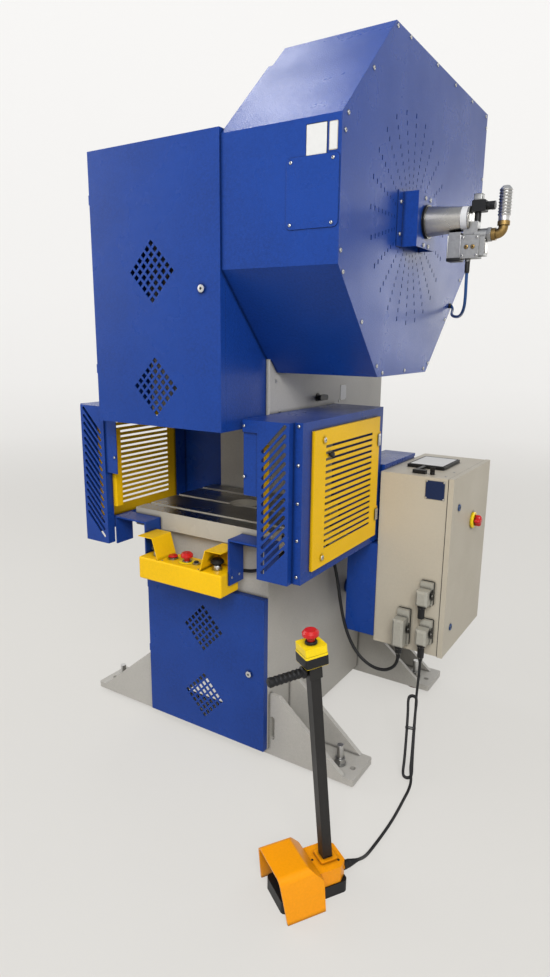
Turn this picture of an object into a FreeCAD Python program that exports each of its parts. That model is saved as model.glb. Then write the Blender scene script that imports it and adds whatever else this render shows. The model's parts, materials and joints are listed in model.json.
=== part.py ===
import FreeCAD, Part
import math
import os

# Mechanical C-frame stamping press with its guards, cabinet and foot pedal.
# Millimetres. X points right, Y back and Z up; the floor is Z = 0 and the ram axis is X = Y = 0.
# Every shape is moved at the end, so that the origin is the bottom centre of the whole machine.

Vector = FreeCAD.Vector

# ---------------------------------------------------------------- clearances
RUNNING_FIT = 0.05          # radial, between a shaft and its hole
BODY_GAP = 0.5              # between pieces that move against each other
SEAT_GAP = 0.3              # between a moving piece and what carries it
PANEL = 3.0                 # sheet thickness of covers, doors and guards

# ---------------------------------------------------------------- frame
FRAME_HALF = 280.0          # outer face of a side plate, from the middle
FRAME_PLATE = 30.0
FRAME_FRONT = -255.0
FRAME_REAR = 675.0
THROAT_BACK = 213.0
THROAT_TOP = 1300.0
THROAT_ROUND = 40.0
BED_TOP = 850.0
BED_PLATE = 50.0
BED_BORE_STEP = 12.0        # the bed's hole is this much wider all round than the bolster's
HEAD_TOP = 2115.0
HEAD_PLATE = 15.0
CROSS_PLATE = 20.0
CHUTE_HALF = 200.0          # opening in the pedestal's front plate, behind the lower door
CHUTE_BOTTOM = 90.0
CHUTE_TOP = 600.0

PAD_RADIUS = 38.0
PAD_HEIGHT = 18.0
FOOT_PLATE = 25.0
FOOT_HALF = 636.0
FRONT_FOOT = (-242.0, -77.0)
REAR_FOOT = (538.0, 708.0)
FOOT_ROUND = 8.0
FOOT_TOP = PAD_HEIGHT + FOOT_PLATE
GUSSET_PLATE = 18.0
GUSSET_TOP = 272.0
GUSSET_SHELF = 41.0         # length of the gusset's level top
GUSSET_TOE = 595.0
BAR_SLOT_IN = 15.0          # from the side plate to the middle of the front gusset's crowbar slot
BAR_SLOT_Z = 132.0
BAR_SLOT_LENGTH = 96.0
BAR_SLOT_WIDTH = 20.0
ANCHOR_X = 603.0
ANCHOR_RADIUS = 11.0
LEVEL_X = 550.0
LEVEL_RADIUS = 12.0
LEVEL_TOP = 120.0
LEVEL_NUT_FLATS = 36.0
LEVEL_NUT_HEIGHT = 20.0
LEVEL_WASHER_RADIUS = 22.0
LEVEL_WASHER = 4.0
FRONT_ANCHOR_Y = -175.0
REAR_ANCHOR_Y = 600.0

# ---------------------------------------------------------------- bolster
BOLSTER_HALF = 319.0
BOLSTER_FRONT = -292.0
BOLSTER_REAR = 205.0
BOLSTER_TOP = 920.0
BORE_RADIUS = 62.0
T_SLOT_ROWS = (-216.0, -42.0, 119.0)
T_NECK_WIDTH = 18.0
T_NECK_DEPTH = 22.0
T_HEAD_WIDTH = 32.0
T_HEAD_DEPTH = 14.0

# ---------------------------------------------------------------- crank, slide and drive
CRANK_Z = 1938.0
CRANK_THROW = 30.0
JOURNAL_RADIUS = 45.0
CRANK_CHEEK_RADIUS = 72.0
CRANK_CHEEK = 40.0
CRANK_PIN_RADIUS = 58.0
CRANK_PIN_LENGTH = 90.0
CRANK_LEFT = -305.0
CRANK_RIGHT = 630.0
BEARING_RADIUS = 75.0
BEARING_FLANGE_RADIUS = 105.0
BEARING_FLANGE = 18.0
BEARING_INNER_BOSS = 25.0

SLIDE_HALF_X = 150.0
SLIDE_HALF_Y = 105.0
SLIDE_BOTTOM = 1312.0
SLIDE_TOP = 1720.0
SLIDE_STROKE = 2 * CRANK_THROW
SHANK_RADIUS = 25.0         # die shank hole in the slide
SHANK_DEPTH = 80.0
GIB_BOTTOM = 1320.0
GIB_TOP = 1800.0
GIB_LIP = 30.0
GIB_OVERLAP = 22.0
ROD_THICKNESS = 70.0
ROD_EYE_RADIUS = 95.0
ROD_WIDTH = 80.0
ROD_BALL_RADIUS = 55.0
ROD_BALL_Z = 1560.0
POCKET_SPARE = 8.0

FLYWHEEL_RADIUS = 380.0
FLYWHEEL_FACE = (345.0, 485.0)
FLYWHEEL_WEB = 40.0
FLYWHEEL_HUB_RADIUS = 110.0
FLYWHEEL_RIM = 60.0
FLYWHEEL_HOLES = 6
FLYWHEEL_HOLE_RADIUS = 55.0
BELT_COUNT = 3
BELT_PITCH = 22.0
BELT_WIDTH = 15.0
BELT_HEIGHT = 10.0
GROOVE_DEPTH = 12.0
MOTOR_Y = 560.0
MOTOR_Z = 2250.0
PULLEY_RADIUS = 75.0
MOTOR_RADIUS = 95.0
MOTOR_LEFT = -60.0
MOTOR_RIGHT = 255.0
MOTOR_SHAFT_RADIUS = 21.0
MOTOR_FOOT = 15.0
MOTOR_FINS = 10

# ---------------------------------------------------------------- upper cover and door
COVER_INSET = 15.0          # the cover is this much narrower than the frame, each side
COVER_HALF = FRAME_HALF - COVER_INSET
COVER_BOTTOM = 1287.0
COVER_TOP = 2150.0
DOOR_FRONT = -507.0
DOOR_DEPTH = 25.0
DOOR_RIM = 3.0
COVER_LIP = 18.0
COVER_FLANGE = 12.0         # flange that lies on the frame's front edges
COVER_FLANGE_RISE = 15.0
DIAMOND_SIDE = 15.0
DIAMOND_ROWS = 6
DIAMOND_PITCH_X = 32.4      # between the tips of neighbours across a field
DIAMOND_PITCH_Z = 33.8
UPPER_FIELDS = ((-3.0, 1773.0), (0.0, 1415.0))
UPPER_LOCK = (197.0, 1717.0)
LOCK_RADIUS = 12.5
LOCK_HEIGHT = 6.0
LOCK_BACK = 4.0             # from the barrel's end to the door's back

# ---------------------------------------------------------------- lower door
LOWER_DOOR_HALF = FRAME_HALF
LOWER_DOOR_DEPTH = 25.0
LOWER_DOOR_BOTTOM = 47.0
LOWER_DOOR_TOP = 658.0
LOWER_FIELDS = ((0.0, 482.0), (0.0, 196.0))
LOWER_LOCK = (215.0, 352.0)

# ---------------------------------------------------------------- hinges
KNUCKLE_RADIUS = 5.0
PIN_RADIUS = 2.5
HINGE_LEAF = 3.0
HINGE_REACH = 6.0           # from the door's edge to the pin
HINGE_HALF = 30.0           # length of one knuckle
LEAF_LENGTH = 30.0
UPPER_HINGE_INSET = (163.0, 160.0)      # from a door's low and high edges to its hinges' middles
LOWER_HINGE_INSET = (263.0, 68.0)
SIDE_HINGE_INSET = (85.0, 87.0)
CABINET_HINGE_INSET = (103.0, 102.0)

# ---------------------------------------------------------------- flywheel guard
GUARD_LEFT = COVER_HALF + BODY_GAP
GUARD_RIGHT = 647.0
GUARD_FRONT = -500.0
GUARD_REAR = 756.0
GUARD_ABOVE = 127.0         # from the flywheel's rim up to the guard's top
GUARD_BELOW = 98.0
GUARD_TOP = CRANK_Z + FLYWHEEL_RADIUS + GUARD_ABOVE
GUARD_BOTTOM = CRANK_Z - FLYWHEEL_RADIUS - GUARD_BELOW
GUARD_TOP_SLOPE = (314.0, 312.0)        # the guard's cut-off corners, along Y and Z
GUARD_REAR_SLOPE = (542.0, 516.0)
GUARD_LOW_SLOPE = (287.0, 308.0)
GUARD_OUTLINE = (
    (GUARD_FRONT, GUARD_TOP - GUARD_TOP_SLOPE[1]),
    (GUARD_FRONT + GUARD_TOP_SLOPE[0], GUARD_TOP),
    (GUARD_REAR, GUARD_TOP),
    (GUARD_REAR, GUARD_BOTTOM + GUARD_REAR_SLOPE[1]),
    (GUARD_REAR - GUARD_REAR_SLOPE[0], GUARD_BOTTOM),
    (GUARD_FRONT + GUARD_LOW_SLOPE[0], GUARD_BOTTOM),
    (GUARD_FRONT, GUARD_BOTTOM + GUARD_LOW_SLOPE[1]),
)
GUARD_LIP = 20.0
RAY_COUNT = 24
RAY_RADII = (310.0, 282.0, 255.0, 229.0, 204.0, 181.0, 159.0, 138.0, 118.0, 102.0)
RAY_SLOT = (6.0, 14.0)      # outermost slot, width and height
RAY_SLOT_SHARE = 0.57       # innermost slot against the outermost
SHAFT_HOLE_RADIUS = 62.0
INSPECTION_X = (485.0, 643.0)
INSPECTION_Z = (1861.0, 2040.0)
INSPECTION_ROUND = 14.0
INSPECTION_THICK = 2.0

# ---------------------------------------------------------------- air clutch group
BRACKET_Z = (1856.0, 2017.0)
BRACKET_HALF = 79.0
BRACKET_FLANGE = 39.0
BRACKET_FACE = 699.0
BRACKET_HOLE = 25.0          # radius, for the air cylinder's shaft
CLUTCH_Z = 1936.0
RING_RADIUS = 49.0
RING_RIGHT = 708.0
CYLINDER_RIGHT = 815.0
CYLINDER_RADII = (45.0, 36.0)
BAND_RIGHT = 841.0
BAND_RADIUS = 34.0
VALVE_HALF_Y = 20.0
COIL_X = (778.0, 817.0)
COIL_BOTTOM = 1819.0
VALVE_X = (818.0, 874.0)
VALVE_Z = (1819.0, 1886.0)
VALVE_PLATE_X = 891.0
VALVE_PLATE_Z = (1825.0, 1880.0)
CAST_X = (823.0, 866.0)
CAST_TOP = 1925.0
PORT_Z = 1886.0
PORT_RADIUS = 18.5
PORT_END = 906.0
PLUG_X = (843.0, 885.0)
PLUG_Z = (1952.0, 1985.0)
PLUG_HALF_Y = 16.0
PLUG_NECK_RADIUS = 10.0
PLUG_POST_X = (847.0, 872.0)
PLUG_POST_TOP = 2003.0
PLUG_BARREL_RADIUS = 12.0
PLUG_BARREL_END = 910.0
ELBOW_RADIUS = 14.0
ELBOW_COLLAR_RADIUS = 18.0
ELBOW_COLLAR = 12.0
RISER_X = 938.0
ELBOW_BEND = 20.0
ELBOW_TOP = 1921.0
SILENCER_RADIUS = 19.5
SILENCER_GROOVE_RADIUS = 16.5
SILENCER_TOP = 2019.0
SILENCER_FOOT = 14.0
SILENCER_RIBS = 9
HOSE_DIAMETER = 10.0
SLEEVE_RADIUS = 8.5
SLEEVE_LENGTH = 42.0
HOSE_X = 838.0
HOSE_BUSH_RADIUS = 9.0
HOSE_BUSH = 8.0
HOSE_END = (436.0, 1700.0)
HOSE_POINTS = (
    (838.0, 0.0, 1755.0),
    (837.0, 6.0, 1710.0),
    (828.0, 26.0, 1672.0),
    (812.0, 58.0, 1652.0),
    (784.0, 112.0, 1640.0),
    (754.0, 172.0, 1640.0),
    (726.0, 232.0, 1648.0),
    (705.0, 290.0, 1660.0),
    (694.0, 346.0, 1674.0),
    (688.0, 396.0, 1688.0),
    (676.0, 432.0, 1698.0),
)

# ---------------------------------------------------------------- tool guards
TOOL_SIDE = 490.0           # outer face of a guard's side plate
TOOL_FLANGE_Y = -393.0
TOOL_REAR = 218.0
TOOL_BOTTOM = 798.0
TOOL_TOP = 1323.0
TOOL_FRONT = -422.0
TOOL_FACE_X = (344.0, 459.0)
TOOL_STRIP_IN = 5.0         # from the frame's side to the inner edge of the guard's front
TOOL_STRIP_X = FRAME_HALF + TOOL_STRIP_IN
TOOL_STRIP_Z = 1283.0
TOOL_FILLER_Z = (1076.0, 1275.0)
TOOL_FILLER_Y = -416.0
TOOL_RETURN_Y = -388.0
TOOL_OPEN_Y = (-318.0, 150.0)
TOOL_OPEN_Z = (848.0, 1274.0)
VENT_COUNT = 15
VENT_FIRST = ((442.0, 1311.0), (362.0, 1226.0))
VENT_PITCH = 28.6
VENT_WIDTH = 12.0
VENT_LOW = 810.0            # no vent reaches below this height

YELLOW_Y = (-336.0, 167.0)
YELLOW_Z = (830.0, 1292.0)
YELLOW_DEPTH = 10.5
LOUVRE_COUNT = 17
LOUVRE_Y = (-259.0, 105.0)
LOUVRE_TOP = 1234.0
LOUVRE_PITCH = 21.3
LOUVRE_HEIGHT = 9.0
YELLOW_LOCK_Y = -273.0
YELLOW_LOCK_Z = (1258.0, 862.0)
YELLOW_LOCK_RADIUS = 11.0

CURTAIN_X = (322.0, 344.0)
CURTAIN_Y = (-388.0, -355.0)
CURTAIN_Z = (941.0, 1238.0)
CURTAIN_CAP = 14.0
CURTAIN_CHAMFER = 2.0

# ---------------------------------------------------------------- two-hand console
CONSOLE_HALF = 191.0
CONSOLE_Y = (-420.0, -312.0)
CONSOLE_Z = (691.0, 776.0)
CONSOLE_ROUND = 7.0
HOOD_FOOT_X = 97.0
HOOD_KNEE_X = 122.0
HOOD_Z = 856.0
HOOD_END_X = CONSOLE_HALF - SEAT_GAP
HOOD_FRONT = -418.0
HOOD_REAR = -316.0
BUTTON_Y = -368.0
PALM_X = 138.0
PALM_RADIUS = 24.5
PALM_TOP = 815.0
PALM_THICK = 14.0
PALM_STEM = 13.0
PALM_TRAVEL = 6.0
STOP_X = -66.0
STOP_RADIUS = 18.0
STOP_TOP = 790.0
STOP_THICK = 5.0
STOP_TRAVEL = 3.0
ESTOP_X = 0.0
ESTOP_RADIUS = 22.5
ESTOP_TOP = 812.0
ESTOP_THICK = 16.0
ESTOP_STEM = 11.0
ESTOP_TRAVEL = 5.0
SMALL_X = 44.0
SMALL_RADIUS = 9.0
SMALL_TOP = 787.0
SMALL_THICK = 3.0
SMALL_TRAVEL = 2.0
COLLAR_HEIGHT = 5.0
COLLAR_WALL = 5.0
BUTTON_DEPTH = 20.0         # how far a stem runs into the box

BRACKET_PLATE = 6.0
ARM_Y = (-377.0, BOLSTER_FRONT)
ARM_INNER_Z = 728.0
ARM_TOP = 897.0
ARM_OUTER_X = 347.0
ARM_OUTER_Z = 787.0
ARM_FOOT_Z = 858.0

# ---------------------------------------------------------------- cabinet
CABINET_X = (506.0, 772.0)
CABINET_Y = (188.0, 672.0)
CABINET_Z = (379.0, 1080.0)
CABINET_WALL = 2.0
CABINET_LIP = 14.0
CABINET_DOOR_X = (772.3, 792.0)
CABINET_DOOR_Y = (186.0, 670.0)
CABINET_DOOR_Z = (377.0, 1082.0)
CABINET_HINGE = (777.5, 677.5)
CABINET_LOCK_Y = 266.0
CABINET_LOCK_Z = (961.0, 479.0)
SWITCH_Y = 460.0
SWITCH_Z = 869.0
SWITCH_BASE = 66.0
SWITCH_BASE_THICK = 12.0
SWITCH_RADIUS = 23.0
SWITCH_DISC = 8.0
SWITCH_GRIP = 25.0
SWITCH_GRIP_WIDTH = 14.0
BACKPLATE_X = 516.0
BACKPLATE_THICK = 3.0
BACKPLATE_MARGIN = 30.0
STANDOFF_RADIUS = 6.0
RAIL_ROWS = (960.0, 790.0, 600.0)
DEVICE_COUNTS = (6, 5, 7)
DEVICE_HEIGHT = 84.0
DEVICE_DEPTHS = (62.0, 78.0, 52.0)
DEVICE_GAP = 6.0

PANEL_X = (552.0, 703.0)
PANEL_Y = (335.0, 541.0)
PANEL_RISE = 12.0
SCREEN_X = (575.0, 685.0)
SCREEN_Y = (365.0, 521.0)
SCREEN_SINK = 2.0
LATCH_X = (616.0, 667.0)
LATCH_Y = (228.0, 248.0)
LATCH_RISE = 14.0
LATCH_ARM_Y = 347.0
KEY_POINT = (690.0, 240.0)
KEY_RADIUS = 9.0
KEY_RISE = 10.0

COLUMN_X = (378.0, 506.0)
COLUMN_Y = (186.0, 538.0)
COLUMN_Z = (398.0, 1100.0)
COLUMN_WALL = 5.0
COLUMN_NOTCH_Y = 222.0       # front of the part that stands behind the tool guard
COLUMN_NOTCH_Z = 788.0
COLUMN_CAP = 12.0
COLUMN_CAP_EDGE = 8.0
SPACER_RADIUS = 32.0
SPACER_Y = 400.0
SPACER_Z = (500.0, 950.0)

PLUG_DEPTH = 48.0           # connector hood, in front of its base
PLUG_BASE_DEPTH = 20.0
PLUG_CHAMFER = 8.0
GLAND_Y = 150.0
GLAND_RADIUS = 12.0
GLAND_NUT_RADIUS = 15.0
GLAND_NUT = 14.0
CONNECTORS = (
    # base x, base z, hood x, hood z, gland x, gland end z
    ((610.0, 658.0), (404.0, 548.0), (608.0, 652.0), (407.0, 520.0), 630.0, 372.0),
    ((696.0, 744.0), (588.0, 678.0), (694.0, 740.0), (595.0, 655.0), 712.0, 538.0),
    ((704.0, 750.0), (431.0, 526.0), (702.0, 744.0), (437.0, 500.0), 720.0, 378.0),
)

# ---------------------------------------------------------------- side knob
KNOB_Y = 78.0
KNOB_Z = 1357.0
KNOB_STUD_RADIUS = 6.0
KNOB_STUD = 16.0
KNOB_WASHER_RADIUS = 15.0
KNOB_WING = 62.0
KNOB_WIDTH = 20.0
KNOB_THICK = 14.0

# ---------------------------------------------------------------- foot pedal
PEDAL_X = 765.2
PEDAL_Y = -608.0
PEDAL_TURN = 57.0           # degrees, from X towards Y
PEDAL_LENGTH = 212.0
PEDAL_HALF = 57.0
PEDAL_BASE_HEIGHT = 38.0
PEDAL_BASE_ROUND = 14.0
SHELL_WALL = 5.0
SHELL_FOOT = 94.0
SHELL_CREASE = (85.0, 62.0)
SHELL_CREST = (73.0, 134.0)
SHELL_CREST_ROUND = 22.0
SHELL_LEAN = 19.0
SHELL_REAR = -93.0
SHELL_CREST_REAR = -135.0
NECK_HALF = 54.0
NECK_TOP = 90.0
NECK_REAR_HALF = 34.0
TREADLE_FRONT = -200.0
TREADLE_HALF = 38.0
TREADLE_THICK = 8.0
TREADLE_Z = 64.0
TREADLE_PIVOT_U = -112.0
TREADLE_BOSS = 8.0
TREADLE_PIN = 4.0
TREADLE_EAR = 8.0
TREADLE_SWING = 7.0
POST_U = -46.0
POST_SIZE = 30.0
POST_LEAN = 5.36            # degrees from upright, towards the pedal's front
POST_LENGTH = 605.0
POST_NECK = 640.0
POST_NECK_SIZE = 38.0
POST_FOOT = 52.0
POST_FOOT_THICK = 6.0
BOX_SIZE = 68.0
BOX_BASE = 675.0
BOX_LID = 697.0
BOX_ROUND = 6.0
MUSHROOM_RADIUS = 23.0
MUSHROOM_TOP = 736.0
MUSHROOM_THICK = 16.0
MUSHROOM_STEM = 11.0
MUSHROOM_TRAVEL = 5.0
MUSHROOM_DEPTH = 12.0
HANDLE_T = 618.0
HANDLE_RADIUS = 14.0
HANDLE_GROOVE_RADIUS = 12.0
HANDLE_REACH = 134.0
HANDLE_RIBS = 7
HANDLE_GUARD_RADIUS = 17.0
PEDAL_GLAND_V = 26.0
PEDAL_GLAND_Z = 62.0
PEDAL_GLAND_RADIUS = 11.0
PEDAL_GLAND_LENGTH = 22.0

# ---------------------------------------------------------------- cables
CORD_SIDES = 8
CONSOLE_CABLE = 13.0
CONSOLE_GLAND_X = 150.0
CONSOLE_GLAND_Z = 747.0
CONSOLE_GLAND_RADIUS = 11.0
CONSOLE_GLAND = 12.0
CONSOLE_CABLE_POINTS = (
    (150.0, -272.0, 747.0),
    (182.0, -272.0, 751.0),
    (222.0, -276.0, 757.0),
    (262.0, -279.0, 772.0),
    (300.0, -262.0, 793.0),
    (304.0, -215.0, 815.0),
    (302.0, -150.0, 826.0),
    (300.0, -62.0, 829.0),
    (301.0, 22.0, 826.0),
    (308.0, 86.0, 803.0),
    (320.0, 128.0, 762.0),
    (338.0, 148.0, 690.0),
    (354.0, 154.0, 608.0),
    (371.0, 151.0, 520.0),
    (390.0, 150.0, 440.0),
    (422.0, 147.0, 368.0),
    (466.0, 144.0, 314.0),
    (522.0, 143.0, 284.0),
    (576.0, 146.0, 281.0),
    (614.0, 149.0, 305.0),
    (630.0, 150.0, 340.0),
)
PEDAL_CABLE = 10.0
UPPER_CABLE_POINTS = (
    (720.0, 150.0, 352.0),
    (722.0, 147.0, 322.0),
    (727.0, 139.0, 286.0),
)
HANK_TOP = (716.0, 104.0, 214.0)
HANK_LOW = (772.0, -66.0, 15.0)
HANK_TURNS = 2
HANK_WIDTH = 54.0
HANK_STEP = 13.0
HANK_TAIL = 46.0            # the last strand leaves this far above the lowest bend
LEAD = 26.0                 # straight run of a cable square to what it meets
FLOOR_CABLE_Z = 5.5
FLOOR_CABLE_POINTS = (
    (805.0, -92.0, 26.0),
    (808.0, -130.0, 9.0),
    (809.0, -176.0, FLOOR_CABLE_Z),
    (806.0, -236.0, FLOOR_CABLE_Z),
    (812.0, -306.0, FLOOR_CABLE_Z),
    (813.0, -376.0, FLOOR_CABLE_Z),
    (808.0, -440.0, FLOOR_CABLE_Z),
    (809.0, -490.0, 10.0),
    (812.0, -530.0, 30.0),
)


# ================================================================ helpers
def box(x_range, y_range, z_range):
    size = Vector(x_range[1] - x_range[0], y_range[1] - y_range[0], z_range[1] - z_range[0])
    corner = Vector(x_range[0], y_range[0], z_range[0])
    return Part.makeBox(size.x, size.y, size.z, corner)


def fuse(solids):
    if len(solids) == 1:
        return solids[0]
    return solids[0].multiFuse(solids[1:]).removeSplitter()


def group(solids):
    """Several separate solids as one shape."""
    return Part.makeCompound([piece for solid in solids for piece in solid.Solids])


def mirrored(shape):
    return shape.mirror(Vector(0, 0, 0), Vector(1, 0, 0))


def both_sides(shape):
    return [shape, mirrored(shape)]


def rod(radius, start, end):
    """A round bar between two points."""
    start = Vector(*start)
    end = Vector(*end)
    return Part.makeCylinder(radius, (end - start).Length, start, end - start)


def hexagon(flats, start, end):
    """A six-sided bar along Z."""
    ring = [
        (flats / math.sqrt(3) * math.cos(math.radians(60 * k)), flats / math.sqrt(3) * math.sin(math.radians(60 * k)))
        for k in range(6)
    ]
    shape = sheet("z", outline(ring), [], start[2], end[2])
    shape.translate(Vector(start[0], start[1], 0))
    return shape


def outline(points):
    """A closed flat wire; a point's third number is the radius of its corner."""
    corners = []
    count = len(points)
    for index, point in enumerate(points):
        here = Vector(point[0], point[1], 0)
        if len(point) < 3:
            corners.append((here, None, here))
            continue
        previous = points[index - 1]
        following = points[(index + 1) % count]
        back = (Vector(previous[0], previous[1], 0) - here).normalize()
        ahead = (Vector(following[0], following[1], 0) - here).normalize()
        half = back.getAngle(ahead) / 2
        reach = point[2] / math.tan(half)
        inward = (back + ahead).normalize()
        middle = here + inward * (point[2] / math.sin(half) - point[2])
        corners.append((here + back * reach, middle, here + ahead * reach))
    edges = []
    for index, (start, middle, end) in enumerate(corners):
        if middle is not None:
            edges.append(Part.Arc(start, middle, end).toShape())
        target = corners[(index + 1) % count][0]
        if end.distanceToPoint(target) > 1e-6:
            edges.append(Part.LineSegment(end, target).toShape())
    return Part.Wire(edges)


def rectangle(a_range, b_range, radius=0.0):
    points = [
        (a_range[0], b_range[0]),
        (a_range[1], b_range[0]),
        (a_range[1], b_range[1]),
        (a_range[0], b_range[1]),
    ]
    if radius:
        points = [point + (radius,) for point in points]
    return outline(points)


def circle(a, b, radius):
    return Part.Wire([Part.makeCircle(radius, Vector(a, b, 0))])


def round_slot(start, end, width):
    """A slot with round ends between the centres of its two arcs."""
    start = Vector(start[0], start[1], 0)
    end = Vector(end[0], end[1], 0)
    along = (end - start).normalize()
    side = Vector(-along.y, along.x, 0) * (width / 2)
    cap = along * (width / 2)
    edges = [
        Part.LineSegment(start - side, end - side).toShape(),
        Part.Arc(end - side, end + cap, end + side).toShape(),
        Part.LineSegment(end + side, start + side).toShape(),
        Part.Arc(start + side, start - cap, start - side).toShape(),
    ]
    return Part.Wire(edges)


PLANES = {
    "x": FreeCAD.Matrix(0, 0, 1, 0, 1, 0, 0, 0, 0, 1, 0, 0, 0, 0, 0, 1),
    "y": FreeCAD.Matrix(1, 0, 0, 0, 0, 0, -1, 0, 0, 1, 0, 0, 0, 0, 0, 1),
    "z": FreeCAD.Matrix(),
}


def sheet(axis, edge, holes, low, high):
    """A flat plate square to an axis, from one coordinate to another, with holes through it.

    On X the outline's two numbers are y and z, on Y they are x and z, on Z they are x and y.
    """
    face = Part.makeFace([edge] + list(holes), "Part::FaceMakerBullseye")
    solid = face.extrude(Vector(0, 0, high - low))
    solid.Placement = FreeCAD.Placement(PLANES[axis])
    offset = {"x": Vector(low, 0, 0), "y": Vector(0, high, 0), "z": Vector(0, 0, low)}[axis]
    solid.translate(offset)
    return solid


def turned(points, centre, axis):
    """A solid of revolution; points are (distance along the axis, radius)."""
    axis = Vector(*axis)
    side = Vector(0, 0, 1) if abs(axis.z) < 0.5 else Vector(1, 0, 0)
    centre = Vector(*centre)
    ring = [centre + axis * along + side * radius for along, radius in points]
    wire = Part.makePolygon(ring + [ring[0]])
    return Part.Face(wire).revolve(centre, axis, 360)


def diamond_field(middle):
    """Square holes standing on their corners, in rows of six by six."""
    half = DIAMOND_SIDE / math.sqrt(2)
    span = (DIAMOND_ROWS - 1) / 2
    holes = []
    for row in range(DIAMOND_ROWS):
        for column in range(DIAMOND_ROWS):
            across = (column - span) - (row - span)
            up = (column - span) + (row - span)
            x = middle[0] + across * DIAMOND_PITCH_X / 2
            z = middle[1] + up * DIAMOND_PITCH_Z / 2
            holes.append(outline([(x - half, z), (x, z - half), (x + half, z), (x, z + half)]))
    return holes


def hinge(point, z_middle, fixed_leaf, moving_leaf):
    """One hinge on an upright pin: the fixed half with its pin, and the moving half."""
    x, y = point
    low = z_middle - HINGE_HALF
    high = z_middle + HINGE_HALF
    fixed_knuckle = rod(KNUCKLE_RADIUS, (x, y, low), (x, y, z_middle))
    pin = rod(PIN_RADIUS, (x, y, z_middle), (x, y, high))
    fixed = fuse([fixed_knuckle, pin, box(*fixed_leaf, (low, z_middle))])
    start = z_middle + SEAT_GAP
    moving_knuckle = rod(KNUCKLE_RADIUS, (x, y, start), (x, y, high))
    bore = rod(PIN_RADIUS + RUNNING_FIT, (x, y, low), (x, y, high + 1))
    moving = fuse([moving_knuckle, box(*moving_leaf, (start, high))]).cut(bore)
    return fixed, moving


def route(points):
    """Straight runs joined by tangent arcs; returns the wire, its length and the least radius."""
    points = [Vector(*point) for point in points]
    edges = []
    length = 0.0
    least = None
    start = points[0]
    for index in range(1, len(points) - 1):
        here = points[index]
        back = points[index - 1] - here
        ahead = points[index + 1] - here
        shorter = min(back.Length, ahead.Length)
        back.normalize()
        ahead.normalize()
        turn = math.pi - back.getAngle(ahead)
        reach = 0.45 * shorter
        radius = reach / math.tan(turn / 2)
        inward = (back + ahead).normalize()
        inner = here + inward * (radius / math.cos(turn / 2) - radius)
        entry = here + back * reach
        leave = here + ahead * reach
        edges.append(Part.LineSegment(start, entry).toShape())
        edges.append(Part.Arc(entry, inner, leave).toShape())
        length += (entry - start).Length + radius * turn
        least = radius if least is None else min(least, radius)
        start = leave
    edges.append(Part.LineSegment(start, points[-1]).toShape())
    length += (points[-1] - start).Length
    return Part.Wire(edges), length, least


def tube(name, points, diameter):
    """A cord with a many-sided section along a route, checked against its section times its length."""
    wire, length, least = route(points)
    start = Vector(*points[0])
    along = (Vector(*points[1]) - start).normalize()
    side = along.cross(Vector(0, 0, 1) if abs(along.z) < 0.9 else Vector(1, 0, 0)).normalize()
    other = along.cross(side)
    ring = []
    for index in range(CORD_SIDES):
        angle = 2 * math.pi * (index + 0.5) / CORD_SIDES
        ring.append(start + (side * math.cos(angle) + other * math.sin(angle)) * (diameter / 2))
    solid = wire.makePipeShell([Part.makePolygon(ring + [ring[0]])], True, False)
    wanted = CORD_SIDES / 8 * math.sin(2 * math.pi / CORD_SIDES) * diameter * diameter * length
    print(name, "length", round(length, 1), "least radius", round(least, 1),
          "volume ratio", round(solid.Volume / wanted, 4))
    return solid


# ================================================================ frame
def gusset(front, slot):
    """Sloped plate that ties a foot to the right side plate."""
    edge = outline([
        (FRAME_HALF, FOOT_TOP),
        (GUSSET_TOE, FOOT_TOP),
        (FRAME_HALF + GUSSET_SHELF, GUSSET_TOP),
        (FRAME_HALF, GUSSET_TOP),
    ])
    half = (BAR_SLOT_LENGTH - BAR_SLOT_WIDTH) / 2
    slot_x = FRAME_HALF + BAR_SLOT_IN
    low_end = (slot_x, BAR_SLOT_Z - half)
    high_end = (slot_x, BAR_SLOT_Z + half)
    holes = [round_slot(low_end, high_end, BAR_SLOT_WIDTH)] if slot else []
    return sheet("y", edge, holes, front, front + GUSSET_PLATE)


def foot(y_range, anchor_y):
    """Foot plate across the whole frame, with its anchor and levelling holes."""
    holes = []
    for side in (-1, 1):
        holes.append(circle(side * ANCHOR_X, anchor_y, ANCHOR_RADIUS))
        holes.append(circle(side * LEVEL_X, anchor_y, LEVEL_RADIUS + RUNNING_FIT))
    edge = rectangle((-FOOT_HALF, FOOT_HALF), y_range, FOOT_ROUND)
    return sheet("z", edge, holes, PAD_HEIGHT, FOOT_TOP)


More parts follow.
